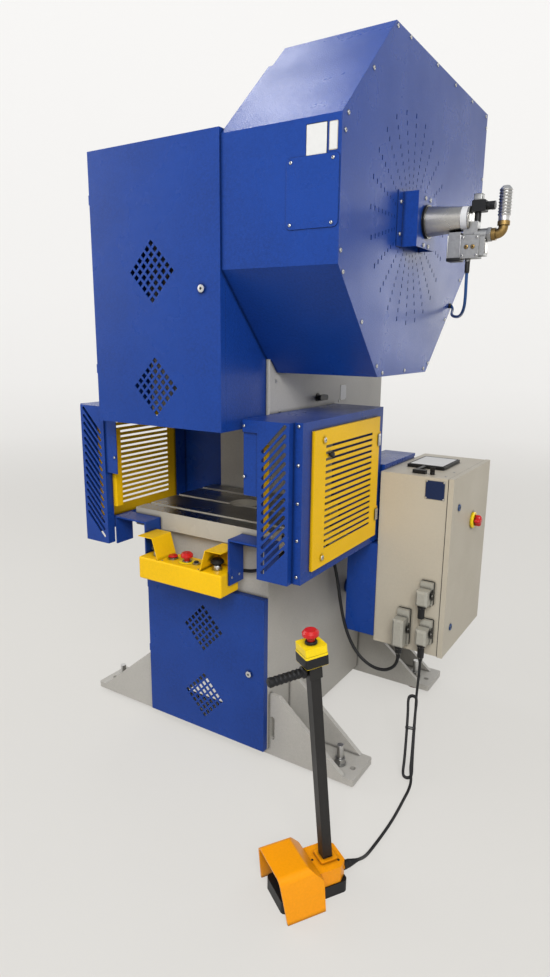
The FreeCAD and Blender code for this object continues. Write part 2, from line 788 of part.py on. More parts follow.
def frame_body():
    side_outline = outline([
        (FRAME_FRONT, FOOT_TOP),
        (FRAME_REAR, FOOT_TOP),
        (FRAME_REAR, HEAD_TOP),
        (FRAME_FRONT, HEAD_TOP),
        (FRAME_FRONT, THROAT_TOP),
        (THROAT_BACK, THROAT_TOP, THROAT_ROUND),
        (THROAT_BACK, BED_TOP),
        (FRAME_FRONT, BED_TOP),
    ])
    bearing_hole = circle(0, CRANK_Z, BEARING_RADIUS)
    side = sheet("x", side_outline, [bearing_hole], FRAME_HALF - FRAME_PLATE, FRAME_HALF)
    inner = FRAME_HALF - FRAME_PLATE
    chute = rectangle((-CHUTE_HALF, CHUTE_HALF), (CHUTE_BOTTOM, CHUTE_TOP), THROAT_ROUND)
    pedestal_front = sheet(
        "y", rectangle((-inner, inner), (FOOT_TOP, BED_TOP - BED_PLATE)), [chute],
        FRAME_FRONT, FRAME_FRONT + CROSS_PLATE,
    )
    bed = sheet(
        "z", rectangle((-inner, inner), (FRAME_FRONT, THROAT_BACK)), [circle(0, 0, BORE_RADIUS + BED_BORE_STEP)],
        BED_TOP - BED_PLATE, BED_TOP,
    )
    throat_wall = box((-inner, inner), (THROAT_BACK, THROAT_BACK + CROSS_PLATE), (BED_TOP - BED_PLATE, THROAT_TOP))
    rear_wall = box((-inner, inner), (FRAME_REAR - CROSS_PLATE, FRAME_REAR), (FOOT_TOP, HEAD_TOP))
    head_front = box((-inner, inner), (FRAME_FRONT, FRAME_FRONT + CROSS_PLATE), (GIB_TOP + CROSS_PLATE, HEAD_TOP))
    head_plate = box((-FRAME_HALF, FRAME_HALF), (FRAME_FRONT, FRAME_REAR), (HEAD_TOP, HEAD_TOP + HEAD_PLATE))
    gussets = [
        gusset(FRONT_FOOT[0], True),
        gusset(FRONT_FOOT[1] - GUSSET_PLATE, False),
        gusset(REAR_FOOT[0], False),
        gusset(REAR_FOOT[1] - 2 * GUSSET_PLATE, False),
    ]
    pieces = both_sides(side) + [pedestal_front, bed, throat_wall, rear_wall, head_front, head_plate]
    pieces += [foot(FRONT_FOOT, FRONT_ANCHOR_Y), foot(REAR_FOOT, REAR_ANCHOR_Y)]
    for plate in gussets:
        pieces += both_sides(plate)
    return fuse(pieces)


def foot_places():
    return [(side * LEVEL_X, y) for side in (-1, 1) for y in (FRONT_ANCHOR_Y, REAR_ANCHOR_Y)]


def levelling_pads():
    return group([rod(PAD_RADIUS, (x, y, 0), (x, y, PAD_HEIGHT)) for x, y in foot_places()])


def levelling_bolts():
    bolts = []
    for x, y in foot_places():
        stud = rod(LEVEL_RADIUS, (x, y, PAD_HEIGHT), (x, y, LEVEL_TOP))
        washer = rod(LEVEL_WASHER_RADIUS, (x, y, FOOT_TOP), (x, y, FOOT_TOP + LEVEL_WASHER))
        nut_low = FOOT_TOP + LEVEL_WASHER
        nut = hexagon(LEVEL_NUT_FLATS, (x, y, nut_low), (x, y, nut_low + LEVEL_NUT_HEIGHT))
        bolts.append(fuse([stud, washer, nut]))
    return group(bolts)


def bolster_plate():
    y_range = (BOLSTER_FRONT, BOLSTER_REAR)
    plate = box((-BOLSTER_HALF, BOLSTER_HALF), y_range, (BED_TOP, BOLSTER_TOP))
    cuts = [rod(BORE_RADIUS, (0, 0, BED_TOP - 1), (0, 0, BOLSTER_TOP + 1))]
    neck_low = BOLSTER_TOP - T_NECK_DEPTH
    head_low = neck_low - T_HEAD_DEPTH
    reach = (-BOLSTER_HALF - 1, BOLSTER_HALF + 1)
    for row in T_SLOT_ROWS:
        neck = (row - T_NECK_WIDTH / 2, row + T_NECK_WIDTH / 2)
        head = (row - T_HEAD_WIDTH / 2, row + T_HEAD_WIDTH / 2)
        cuts.append(box(reach, neck, (neck_low - 1, BOLSTER_TOP + 1)))
        cuts.append(box(reach, head, (head_low, neck_low)))
    return plate.cut(cuts)


# ================================================================ crank and slide
def main_bearings():
    """Flanged bush in each side plate, with its flange outside and a boss inside."""
    inner = FRAME_HALF - FRAME_PLATE
    start = (inner - BEARING_INNER_BOSS, 0, CRANK_Z)
    flange_end = FRAME_HALF + BEARING_FLANGE
    body = rod(BEARING_RADIUS - RUNNING_FIT, start, (flange_end, 0, CRANK_Z))
    flange = rod(BEARING_FLANGE_RADIUS, (FRAME_HALF, 0, CRANK_Z), (flange_end, 0, CRANK_Z))
    bore = rod(JOURNAL_RADIUS + RUNNING_FIT, (0, 0, CRANK_Z), (flange_end + 1, 0, CRANK_Z))
    return group(both_sides(fuse([body, flange]).cut(bore)))


def crankshaft():
    """Shaft in one piece with a round eccentric between two cheeks."""
    half = CRANK_PIN_LENGTH / 2
    pin_z = CRANK_Z + CRANK_THROW
    shaft = rod(JOURNAL_RADIUS, (CRANK_LEFT, 0, CRANK_Z), (CRANK_RIGHT, 0, CRANK_Z))
    pin = rod(CRANK_PIN_RADIUS, (-half, 0, pin_z), (half, 0, pin_z))
    cheek = rod(CRANK_CHEEK_RADIUS, (half, 0, CRANK_Z), (half + CRANK_CHEEK, 0, CRANK_Z))
    between = rod(JOURNAL_RADIUS + 1, (-half, 0, CRANK_Z), (half, 0, CRANK_Z))
    return fuse([shaft.cut(between), pin] + both_sides(cheek))


def connecting_rod():
    """Eye round the crank pin, a straight shank and a round end in the slide's pocket."""
    half = ROD_THICKNESS / 2
    pin_z = CRANK_Z + CRANK_THROW
    eye = rod(ROD_EYE_RADIUS, (-half, 0, pin_z), (half, 0, pin_z))
    shank = box((-half, half), (-ROD_WIDTH / 2, ROD_WIDTH / 2), (ROD_BALL_Z, pin_z))
    end = rod(ROD_BALL_RADIUS, (-half, 0, ROD_BALL_Z), (half, 0, ROD_BALL_Z))
    bore = rod(CRANK_PIN_RADIUS + RUNNING_FIT, (-half - 1, 0, pin_z), (half + 1, 0, pin_z))
    return fuse([eye, shank, end]).cut(bore)


def slide():
    """Ram block with a pocket for the rod and a die shank hole from below."""
    body = box((-SLIDE_HALF_X, SLIDE_HALF_X), (-SLIDE_HALF_Y, SLIDE_HALF_Y), (SLIDE_BOTTOM, SLIDE_TOP))
    half = ROD_THICKNESS / 2 + POCKET_SPARE
    depth = ROD_BALL_RADIUS + CRANK_THROW + POCKET_SPARE
    pocket_low = ROD_BALL_Z - ROD_BALL_RADIUS - SLIDE_STROKE - POCKET_SPARE
    pocket = box((-half, half), (-depth, depth), (pocket_low, SLIDE_TOP + 1))
    shank = rod(SHANK_RADIUS, (0, 0, SLIDE_BOTTOM - 1), (0, 0, SLIDE_BOTTOM + SHANK_DEPTH))
    return body.cut([pocket, shank])


def slide_gibs():
    """Guides on the side plates; front and rear lips hold the slide between them."""
    face = SLIDE_HALF_X + SEAT_GAP
    inner = FRAME_HALF - FRAME_PLATE
    depth = SLIDE_HALF_Y + SEAT_GAP
    lip_x = SLIDE_HALF_X - GIB_OVERLAP
    block = box((face, inner), (-depth - GIB_LIP, depth + GIB_LIP), (GIB_BOTTOM, GIB_TOP))
    front = box((lip_x, face), (-depth - GIB_LIP, -depth), (GIB_BOTTOM, GIB_TOP))
    rear = box((lip_x, face), (depth, depth + GIB_LIP), (GIB_BOTTOM, GIB_TOP))
    return group(both_sides(fuse([block, front, rear])))


def groove_centres():
    middle = sum(FLYWHEEL_FACE) / 2
    first = middle - (BELT_COUNT - 1) * BELT_PITCH / 2
    return [first + index * BELT_PITCH for index in range(BELT_COUNT)]


def grooved_rim(radius, face):
    """Points of a rim's profile, left to right, with one groove for each belt."""
    points = [(face[0], radius)]
    half = BELT_WIDTH / 2 + BODY_GAP
    for centre in groove_centres():
        points.append((centre - half, radius))
        points.append((centre - half, radius - GROOVE_DEPTH))
        points.append((centre + half, radius - GROOVE_DEPTH))
        points.append((centre + half, radius))
    points.append((face[1], radius))
    return points


def flywheel():
    """Flat rim, holed web and hub, turning on the crankshaft; the belts run on the rim."""
    low, high = FLYWHEEL_FACE
    middle = (low + high) / 2
    web = FLYWHEEL_WEB / 2
    rim_inner = FLYWHEEL_RADIUS - FLYWHEEL_RIM
    bore = JOURNAL_RADIUS + RUNNING_FIT
    profile = [
        (low, FLYWHEEL_RADIUS),
        (high, FLYWHEEL_RADIUS),
        (high, rim_inner),
        (middle + web, rim_inner),
        (middle + web, FLYWHEEL_HUB_RADIUS),
        (high, FLYWHEEL_HUB_RADIUS),
        (high, bore),
        (low, bore),
        (low, FLYWHEEL_HUB_RADIUS),
        (middle - web, FLYWHEEL_HUB_RADIUS),
        (middle - web, rim_inner),
        (low, rim_inner),
    ]
    wheel = turned(profile, (0, 0, CRANK_Z), (1, 0, 0))
    holes = []
    ring = (FLYWHEEL_HUB_RADIUS + rim_inner) / 2
    for index in range(FLYWHEEL_HOLES):
        angle = 2 * math.pi * index / FLYWHEEL_HOLES
        y = ring * math.cos(angle)
        z = CRANK_Z + ring * math.sin(angle)
        holes.append(rod(FLYWHEEL_HOLE_RADIUS, (low, y, z), (high, y, z)))
    return wheel.cut(holes)


def motor_pulley():
    """Grooved pulley in one piece with the motor's shaft."""
    low, high = FLYWHEEL_FACE
    face = (low + BELT_PITCH, high - BELT_PITCH)
    profile = [(MOTOR_RIGHT + SEAT_GAP, 0), (MOTOR_RIGHT + SEAT_GAP, MOTOR_SHAFT_RADIUS), (face[0], MOTOR_SHAFT_RADIUS)]
    profile += grooved_rim(PULLEY_RADIUS, face) + [(face[1], 0)]
    return turned(profile, (0, MOTOR_Y, MOTOR_Z), (1, 0, 0))


def motor():
    """Finned motor on a foot plate, with its end shield towards the guard."""
    body = rod(MOTOR_RADIUS, (MOTOR_LEFT, MOTOR_Y, MOTOR_Z), (MOTOR_RIGHT, MOTOR_Y, MOTOR_Z))
    deck = HEAD_TOP + HEAD_PLATE
    base = box((MOTOR_LEFT + 40, MOTOR_RIGHT - 40), (MOTOR_Y - 90, MOTOR_Y + 90), (deck, deck + MOTOR_FOOT))
    legs = box((MOTOR_LEFT + 60, MOTOR_RIGHT - 60), (MOTOR_Y - 60, MOTOR_Y + 60), (deck, MOTOR_Z))
    fins = []
    for index in range(MOTOR_FINS):
        angle = math.pi * (index + 0.5) / MOTOR_FINS
        fin = box((MOTOR_LEFT + 50, MOTOR_RIGHT - 25), (-2, 2), (MOTOR_RADIUS - 5, MOTOR_RADIUS + 12))
        fin.rotate(Vector(0, 0, 0), Vector(1, 0, 0), math.degrees(angle) - 90)
        fin.translate(Vector(0, MOTOR_Y, MOTOR_Z))
        fins.append(fin)
    terminal_box = box((40, 130), (MOTOR_Y - 45, MOTOR_Y + 45), (MOTOR_Z, MOTOR_Z + MOTOR_RADIUS + 45))
    return fuse([body, base, legs, terminal_box] + fins)


def belt_loop(big, small):
    """Flat outline of a belt round the flywheel and the pulley, at two radii from their axes."""
    across = MOTOR_Y
    up = MOTOR_Z - CRANK_Z
    distance = math.hypot(across, up)
    heading = math.atan2(up, across)
    spread = math.acos((big - small) / distance)
    centres = (Vector(0, CRANK_Z, 0), Vector(MOTOR_Y, MOTOR_Z, 0))

    def on(centre, radius, angle):
        return centres[centre] + Vector(math.cos(angle), math.sin(angle), 0) * radius

    first = heading + spread
    last = heading - spread
    edges = [
        Part.LineSegment(on(0, big, first), on(1, small, first)).toShape(),
        Part.Arc(on(1, small, first), on(1, small, heading), on(1, small, last)).toShape(),
        Part.LineSegment(on(1, small, last), on(0, big, last)).toShape(),
        Part.Arc(on(0, big, last), on(0, big, heading + math.pi), on(0, big, first)).toShape(),
    ]
    return Part.Wire(edges)


def drive_belts():
    belts = []
    floor = GROOVE_DEPTH - BODY_GAP
    for centre in groove_centres():
        inner = belt_loop(FLYWHEEL_RADIUS + BODY_GAP, PULLEY_RADIUS - floor)
        outer = belt_loop(FLYWHEEL_RADIUS + BODY_GAP + BELT_HEIGHT, PULLEY_RADIUS - floor + BELT_HEIGHT)
        belts.append(sheet("x", outer, [inner], centre - BELT_WIDTH / 2, centre + BELT_WIDTH / 2))
    return group(belts)


# ================================================================ covers and doors
def pan(x_range, z_range, front, depth, fields, lock):
    """Door of folded sheet: a front face with holes, a rim all round and a lock barrel."""
    face = sheet("y", rectangle(x_range, z_range), fields, front, front + PANEL)
    outer = box(x_range, (front, front + depth), z_range)
    inner = box(
        (x_range[0] + DOOR_RIM, x_range[1] - DOOR_RIM), (front - 1, front + depth + 1),
        (z_range[0] + DOOR_RIM, z_range[1] - DOOR_RIM),
    )
    barrel_end = front + depth - LOCK_BACK
    barrel = rod(LOCK_RADIUS, (lock[0], front - LOCK_HEIGHT, lock[1]), (lock[0], barrel_end, lock[1]))
    return fuse([face, outer.cut(inner), barrel])


def upper_cover():
    """Folded cover between the frame's front and the upper door, with a lip each side and flanges behind."""
    front = DOOR_FRONT + DOOR_DEPTH + BODY_GAP
    under_top = COVER_TOP - PANEL
    outer = box((-COVER_HALF, COVER_HALF), (front, FRAME_FRONT), (COVER_BOTTOM, COVER_TOP))
    inside = COVER_HALF - PANEL
    inner = box((-inside, inside), (front - 1, FRAME_FRONT + 1), (COVER_BOTTOM - 1, under_top))
    lip = box((COVER_HALF - COVER_LIP, inside), (front, front + PANEL), (COVER_BOTTOM, under_top))
    flange_low = COVER_BOTTOM + COVER_FLANGE_RISE
    flange = box((inside - COVER_FLANGE, inside), (FRAME_FRONT - PANEL, FRAME_FRONT), (flange_low, under_top))
    return fuse([outer.cut(inner)] + both_sides(lip) + both_sides(flange))


def hinge_heights(z_range, inset):
    return z_range[0] + inset[0], z_range[1] - inset[1]


UPPER_HINGE = (-COVER_HALF - HINGE_REACH, DOOR_FRONT + DOOR_DEPTH)
UPPER_HINGE_Z = hinge_heights((COVER_BOTTOM, COVER_TOP), UPPER_HINGE_INSET)
LOWER_FRONT = FRAME_FRONT - BODY_GAP - LOWER_DOOR_DEPTH
LOWER_HINGE = (-LOWER_DOOR_HALF - HINGE_REACH, FRAME_FRONT - BODY_GAP)
LOWER_HINGE_Z = hinge_heights((LOWER_DOOR_BOTTOM, LOWER_DOOR_TOP), LOWER_HINGE_INSET)
YELLOW_FACE = TOOL_SIDE + BODY_GAP
SIDE_HINGE = (TOOL_SIDE + HINGE_REACH, YELLOW_Y[1] + 7.0)
SIDE_HINGE_Z = hinge_heights(YELLOW_Z, SIDE_HINGE_INSET)
CABINET_HINGE_Z = hinge_heights(CABINET_DOOR_Z, CABINET_HINGE_INSET)


def left_hinges(point, edge, front, rows):
    """Hinges on the left edge of a front door; its fixed leaves lie on the side behind it."""
    x, y = point
    fixed_leaf = ((x + HINGE_REACH - HINGE_LEAF, edge), (y, y + LEAF_LENGTH))
    moving_leaf = ((x + HINGE_REACH - HINGE_LEAF, edge), (front, y))
    bridge = (x, x + HINGE_REACH - HINGE_LEAF + 0.5)
    halves = []
    for row in rows:
        fixed, moving = hinge(point, row, fixed_leaf, moving_leaf)
        fixed = fuse([fixed, box(bridge, (y, y + 2), (row - HINGE_HALF, row))])
        moving = fuse([moving, box((x + 3.5, x + HINGE_REACH), (y - 2, y), (row + SEAT_GAP, row + HINGE_HALF))])
        halves.append((fixed, moving))
    return halves


def upper_hinges():
    return left_hinges(UPPER_HINGE, -COVER_HALF, DOOR_FRONT, UPPER_HINGE_Z)


def lower_hinges():
    return left_hinges(LOWER_HINGE, -LOWER_DOOR_HALF, LOWER_FRONT, LOWER_HINGE_Z)


def side_hinges():
    """Hinges of the right side door, behind its rear edge."""
    x, y = SIDE_HINGE
    fixed_leaf = ((TOOL_SIDE, TOOL_SIDE + HINGE_LEAF), (y - 2, y + LEAF_LENGTH))
    moving_leaf = ((YELLOW_FACE, YELLOW_FACE + HINGE_LEAF), (YELLOW_Y[1], y))
    return [hinge(SIDE_HINGE, row, fixed_leaf, moving_leaf) for row in SIDE_HINGE_Z]


def cabinet_hinges():
    x, y = CABINET_HINGE
    fixed_leaf = ((CABINET_X[1] - LEAF_LENGTH, x + 1.5), (CABINET_Y[1], CABINET_Y[1] + HINGE_LEAF))
    moving_leaf = ((x - 3.0, x + 3.0), (CABINET_DOOR_Y[1], y))
    return [hinge(CABINET_HINGE, row, fixed_leaf, moving_leaf) for row in CABINET_HINGE_Z]


def door_hinges():
    halves = upper_hinges() + lower_hinges() + cabinet_hinges()
    fixed = [half[0] for half in halves]
    for half in side_hinges():
        fixed += both_sides(half[0])
    return group(fixed)


def upper_door():
    fields = [hole for middle in UPPER_FIELDS for hole in diamond_field(middle)]
    body = pan((-COVER_HALF, COVER_HALF), (COVER_BOTTOM, COVER_TOP), DOOR_FRONT, DOOR_DEPTH, fields, UPPER_LOCK)
    return fuse([body] + [half[1] for half in upper_hinges()])


def lower_door():
    fields = [hole for middle in LOWER_FIELDS for hole in diamond_field(middle)]
    z_range = (LOWER_DOOR_BOTTOM, LOWER_DOOR_TOP)
    x_range = (-LOWER_DOOR_HALF, LOWER_DOOR_HALF)
    body = pan(x_range, z_range, LOWER_FRONT, LOWER_DOOR_DEPTH, fields, LOWER_LOCK)
    return fuse([body] + [half[1] for half in lower_hinges()])


# ================================================================ flywheel guard
def mitre(points, index, depth):
    """Where the faces of two neighbouring plates meet, at a depth below a corner of a convex outline."""
    here = Vector(*points[index], 0)
    back = (Vector(*points[index - 1], 0) - here).normalize()
    ahead = (Vector(*points[(index + 1) % len(points)], 0) - here).normalize()
    half = back.getAngle(ahead) / 2
    return here + (back + ahead).normalize() * (depth / math.sin(half))


def mitred_strips(points, outer, inner, low, high):
    """One strip along each side of an outline, between two depths, mitred where they meet."""
    strips = []
    for index in range(len(points)):
        after = (index + 1) % len(points)
        ring = [
            mitre(points, index, outer), mitre(points, after, outer),
            mitre(points, after, inner), mitre(points, index, inner),
        ]
        strips.append(sheet("x", Part.makePolygon(ring + [ring[0]]), [], low, high))
    return strips


def ray_slots():
    """Upright slots on rays round the crank axis, smaller towards the middle."""
    slots = []
    outer, inner = RAY_RADII[0], RAY_RADII[-1]
    for ray in range(RAY_COUNT):
        angle = 2 * math.pi * ray / RAY_COUNT
        for radius in RAY_RADII:
            share = RAY_SLOT_SHARE + (1 - RAY_SLOT_SHARE) * (radius - inner) / (outer - inner)
            y = radius * math.cos(angle)
            z = CRANK_Z + radius * math.sin(angle)
            half_width = RAY_SLOT[0] * share / 2
            half_height = RAY_SLOT[1] * share / 2
            slots.append(rectangle((y - half_width, y + half_width), (z - half_height, z + half_height)))
    return slots


def flywheel_guard():
    """Seven-sided box of plates butted along their edges, open round the drive, with a lip for its outer plate."""
    end = GUARD_RIGHT - PANEL
    frame_space = box((GUARD_LEFT - 1, FRAME_HALF), (FRAME_FRONT, GUARD_REAR + 1), (GUARD_BOTTOM - 1, GUARD_TOP + 1))
    plates = [plate.cut(frame_space) for plate in mitred_strips(GUARD_OUTLINE, 0, PANEL, GUARD_LEFT, end)]
    lips = mitred_strips(GUARD_OUTLINE, PANEL, GUARD_LIP, end - PANEL, end)
    ring = [mitre(GUARD_OUTLINE, index, PANEL) for index in range(len(GUARD_OUTLINE))]
    drive_hole = circle(0, CRANK_Z, BEARING_FLANGE_RADIUS + 5)
    shaft_hole = circle(MOTOR_Y, MOTOR_Z, PULLEY_RADIUS)
    wall = sheet("x", Part.makePolygon(ring + [ring[0]]), [drive_hole, shaft_hole], FRAME_HALF, FRAME_HALF + PANEL)
    return group(plates + lips + [wall])


def flywheel_guard_plate():
    hose_hole = circle(HOSE_END[0], HOSE_END[1], HOSE_BUSH_RADIUS - 3)
    holes = ray_slots() + [circle(0, CRANK_Z, SHAFT_HOLE_RADIUS), hose_hole]
    return sheet("x", outline(GUARD_OUTLINE), holes, GUARD_RIGHT - PANEL, GUARD_RIGHT)


def inspection_cover():
    edge = rectangle(INSPECTION_X, INSPECTION_Z, INSPECTION_ROUND)
    return sheet("y", edge, [], GUARD_FRONT - INSPECTION_THICK, GUARD_FRONT)


# ================================================================ air clutch group
def clutch_bracket():
    """Folded hat section with a flange each side."""
    half = BRACKET_HALF
    reach = half + BRACKET_FLANGE
    low = GUARD_RIGHT
    edge = outline([
        (low, -reach), (low + PANEL, -reach), (low + PANEL, -half), (BRACKET_FACE, -half),
        (BRACKET_FACE, half), (low + PANEL, half), (low + PANEL, reach), (low, reach),
        (low, half - PANEL), (BRACKET_FACE - PANEL, half - PANEL),
        (BRACKET_FACE - PANEL, -half + PANEL), (low, -half + PANEL),
    ])
    hat = sheet("z", edge, [], *BRACKET_Z)
    return hat.cut(rod(BRACKET_HOLE, (low, 0, CLUTCH_Z), (BRACKET_FACE + 1, 0, CLUTCH_Z)))


def rotary_cylinder():
    """Mounting ring, tapered cover and end band of the air cylinder, turned as one."""
    profile = [
        (BRACKET_FACE, 0), (BRACKET_FACE, RING_RADIUS), (RING_RIGHT, RING_RADIUS),
        (RING_RIGHT, CYLINDER_RADII[0]), (CYLINDER_RIGHT, CYLINDER_RADII[1]),
        (CYLINDER_RIGHT, BAND_RADIUS), (BAND_RIGHT, BAND_RADIUS), (BAND_RIGHT, 0),
    ]
    return turned(profile, (0, 0, CLUTCH_Z), (1, 0, 0))


def valve_block():
    y_range = (-VALVE_HALF_Y, VALVE_HALF_Y)
    share = (COIL_X[0] - RING_RIGHT) / (CYLINDER_RIGHT - RING_RIGHT)
    cylinder_radius = CYLINDER_RADII[0] + share * (CYLINDER_RADII[1] - CYLINDER_RADII[0])
    coil = box(COIL_X, y_range, (COIL_BOTTOM, CLUTCH_Z - cylinder_radius - SEAT_GAP))
    coil = coil.makeFillet(4, [edge for edge in coil.Edges if abs(edge.tangentAt(edge.FirstParameter).y) > 0.9])
    body = box((COIL_X[1], VALVE_X[1]), y_range, VALVE_Z)
    plate = box((VALVE_X[1], VALVE_PLATE_X), (-VALVE_HALF_Y + 2, VALVE_HALF_Y - 2), VALVE_PLATE_Z)
    cast = box(CAST_X, (-VALVE_HALF_Y + 3, VALVE_HALF_Y - 3), (VALVE_Z[1], CAST_TOP))
    band_space = rod(BAND_RADIUS + BODY_GAP, (BRACKET_FACE, 0, CLUTCH_Z), (BAND_RIGHT + BODY_GAP, 0, CLUTCH_Z))
    port = rod(PORT_RADIUS, (CAST_X[1] - 10, 0, PORT_Z), (PORT_END, 0, PORT_Z))
    hose_port = rod(SLEEVE_RADIUS, (HOSE_X, 0, VALVE_Z[0] - 8), (HOSE_X, 0, VALVE_Z[0] + 1))
    return fuse([coil, body, plate, cast.cut(band_space), port, hose_port])


def valve_connector():
    """Moulded connector on the valve: neck, head, post and cable barrel."""
    middle = sum(PLUG_POST_X) / 2
    y_range = (-PLUG_HALF_Y, PLUG_HALF_Y)
    neck = rod(PLUG_NECK_RADIUS, (middle, 0, CAST_TOP), (middle, 0, PLUG_Z[0] + 1))
    head = box(PLUG_X, y_range, PLUG_Z)
    head = head.makeFillet(4, [edge for edge in head.Edges if abs(edge.tangentAt(edge.FirstParameter).y) > 0.9])
    post = box(PLUG_POST_X, (-PLUG_HALF_Y + 4, PLUG_HALF_Y - 4), (PLUG_Z[1] - 1, PLUG_POST_TOP))
    z = sum(PLUG_Z) / 2
    barrel = rod(PLUG_BARREL_RADIUS, (PLUG_X[1] - 1, 0, z), (PLUG_BARREL_END, 0, z))
    return fuse([neck, head, post, barrel])


def exhaust_elbow():
    """Brass elbow from the valve's port up to the silencer."""
    bend_start = RISER_X - ELBOW_BEND
    middle_angle = math.radians(45)
    middle = Vector(
        bend_start + ELBOW_BEND * math.sin(middle_angle), 0, PORT_Z + ELBOW_BEND * (1 - math.cos(middle_angle)),
    )
    corner_end = Vector(RISER_X, 0, PORT_Z + ELBOW_BEND)
    path = Part.Wire([
        Part.LineSegment(Vector(PORT_END, 0, PORT_Z), Vector(bend_start, 0, PORT_Z)).toShape(),
        Part.Arc(Vector(bend_start, 0, PORT_Z), middle, corner_end).toShape(),
        Part.LineSegment(corner_end, Vector(RISER_X, 0, ELBOW_TOP)).toShape(),
    ])
    section = Part.Wire([Part.makeCircle(ELBOW_RADIUS, Vector(PORT_END, 0, PORT_Z), Vector(1, 0, 0))])
    pipe = path.makePipeShell([section], True, False)
    inlet = rod(ELBOW_COLLAR_RADIUS, (PORT_END, 0, PORT_Z), (PORT_END + ELBOW_COLLAR, 0, PORT_Z))
    outlet = rod(ELBOW_COLLAR_RADIUS, (RISER_X, 0, ELBOW_TOP - ELBOW_COLLAR), (RISER_X, 0, ELBOW_TOP))
    return fuse([pipe, inlet, outlet])


def exhaust_silencer():
    """Ribbed silencer, turned, with a plain foot and a domed cap."""
    first = ELBOW_TOP + SILENCER_FOOT
    pitch = (SILENCER_TOP - first - SILENCER_FOOT / 2) / SILENCER_RIBS
    profile = [(ELBOW_TOP, 0), (ELBOW_TOP, SILENCER_GROOVE_RADIUS), (first, SILENCER_GROOVE_RADIUS)]
    for rib in range(SILENCER_RIBS):
        base = first + rib * pitch
        profile.append((base + pitch / 2, SILENCER_RADIUS))
        profile.append((base + pitch, SILENCER_GROOVE_RADIUS))
    profile += [(SILENCER_TOP, SILENCER_GROOVE_RADIUS * 0.6), (SILENCER_TOP, 0)]
    return turned(profile, (RISER_X, 0, 0), (0, 0, 1))


def air_hose():
    """Hose from the valve to a bush in the guard's plate, with a sleeve below the valve."""
    top = VALVE_Z[0] - 8
    end = (GUARD_RIGHT + HOSE_BUSH, HOSE_END[0], HOSE_END[1])
    points = [(HOSE_X, 0, top)] + list(HOSE_POINTS) + [end]
    hose = tube("air_hose", points, HOSE_DIAMETER)
    sleeve = rod(SLEEVE_RADIUS - 1, (HOSE_X, 0, top - SLEEVE_LENGTH * 0.8), (HOSE_X, 0, top))
    bush = rod(
        HOSE_BUSH_RADIUS, (GUARD_RIGHT, HOSE_END[0], HOSE_END[1]),
        (GUARD_RIGHT + HOSE_BUSH, HOSE_END[0], HOSE_END[1]),
    )
    return fuse([hose, sleeve, bush])


# ================================================================ tool guards
def vent_slots():
    """Slanted vents of the right guard's front plate, each a pitch below the last."""
    slots = []
    (right, top), (left, bottom) = VENT_FIRST
    slope = (top - bottom) / (right - left)
    for index in range(VENT_COUNT):
        drop = index * VENT_PITCH
        end = max(bottom - drop, VENT_LOW)
        end_x = left + (end - (bottom - drop)) / slope
        slots.append(round_slot((right, top - drop), (end_x, end), VENT_WIDTH))
    return slots


def right_tool_guard():
    z_range = (TOOL_BOTTOM, TOOL_TOP)
    left, right = TOOL_FACE_X
    opening = rectangle(TOOL_OPEN_Y, TOOL_OPEN_Z)
    side = sheet("x", rectangle((TOOL_FLANGE_Y, TOOL_REAR), z_range), [opening], TOOL_SIDE - PANEL, TOOL_SIDE)
    flange = box((right - PANEL, TOOL_SIDE), (TOOL_FLANGE_Y, TOOL_FLANGE_Y + PANEL), z_range)
    front = sheet("y", rectangle(TOOL_FACE_X, z_range), vent_slots(), TOOL_FRONT, TOOL_FRONT + PANEL)
    outer_return = box((right - PANEL, right), (TOOL_FRONT, TOOL_FLANGE_Y + PANEL), z_range)
    inner_return = box((left - PANEL, left), (TOOL_FRONT, TOOL_RETURN_Y), z_range)
    strip = box((TOOL_STRIP_X, left), (TOOL_FRONT, TOOL_FRONT + PANEL), (TOOL_STRIP_Z, TOOL_TOP))
    filler = box((TOOL_STRIP_X, left), (TOOL_FILLER_Y, TOOL_FILLER_Y + PANEL), (TOOL_FILLER_Z[0], TOOL_TOP))
    top = sheet("z", outline([
        (TOOL_STRIP_X, TOOL_FRONT), (right, TOOL_FRONT), (right, TOOL_FLANGE_Y), (TOOL_SIDE, TOOL_FLANGE_Y),
        (TOOL_SIDE, TOOL_REAR), (FRAME_HALF, TOOL_REAR), (FRAME_HALF, FRAME_FRONT - PANEL),
        (TOOL_STRIP_X, FRAME_FRONT - PANEL),
    ]), [], TOOL_TOP - PANEL, TOOL_TOP)
    back = box((FRAME_HALF, TOOL_SIDE), (TOOL_REAR - PANEL, TOOL_REAR), z_range)
    return fuse([side, flange, front, outer_return, inner_return, strip, filler, top, back])


def louvres():
    slots = []
    for index in range(LOUVRE_COUNT):
        z = LOUVRE_TOP - index * LOUVRE_PITCH
        slots.append(rectangle(LOUVRE_Y, (z - LOUVRE_HEIGHT / 2, z + LOUVRE_HEIGHT / 2)))
    return slots


def right_side_door():
    """Louvred door of folded sheet on the outside of the right tool guard."""
    outer_face = YELLOW_FACE + YELLOW_DEPTH
    face = sheet("x", rectangle(YELLOW_Y, YELLOW_Z), louvres(), outer_face - PANEL, outer_face)
    rim = box((YELLOW_FACE, outer_face), YELLOW_Y, YELLOW_Z)
    hollow = box(
        (YELLOW_FACE - 1, outer_face + 1), (YELLOW_Y[0] + PANEL, YELLOW_Y[1] - PANEL),
        (YELLOW_Z[0] + PANEL, YELLOW_Z[1] - PANEL),
    )
    locks = []
    for z in YELLOW_LOCK_Z:
        locks.append(rod(YELLOW_LOCK_RADIUS, (YELLOW_FACE, YELLOW_LOCK_Y, z), (outer_face + 4, YELLOW_LOCK_Y, z)))
    return fuse([face, rim.cut(hollow)] + locks + [half[1] for half in side_hinges()])


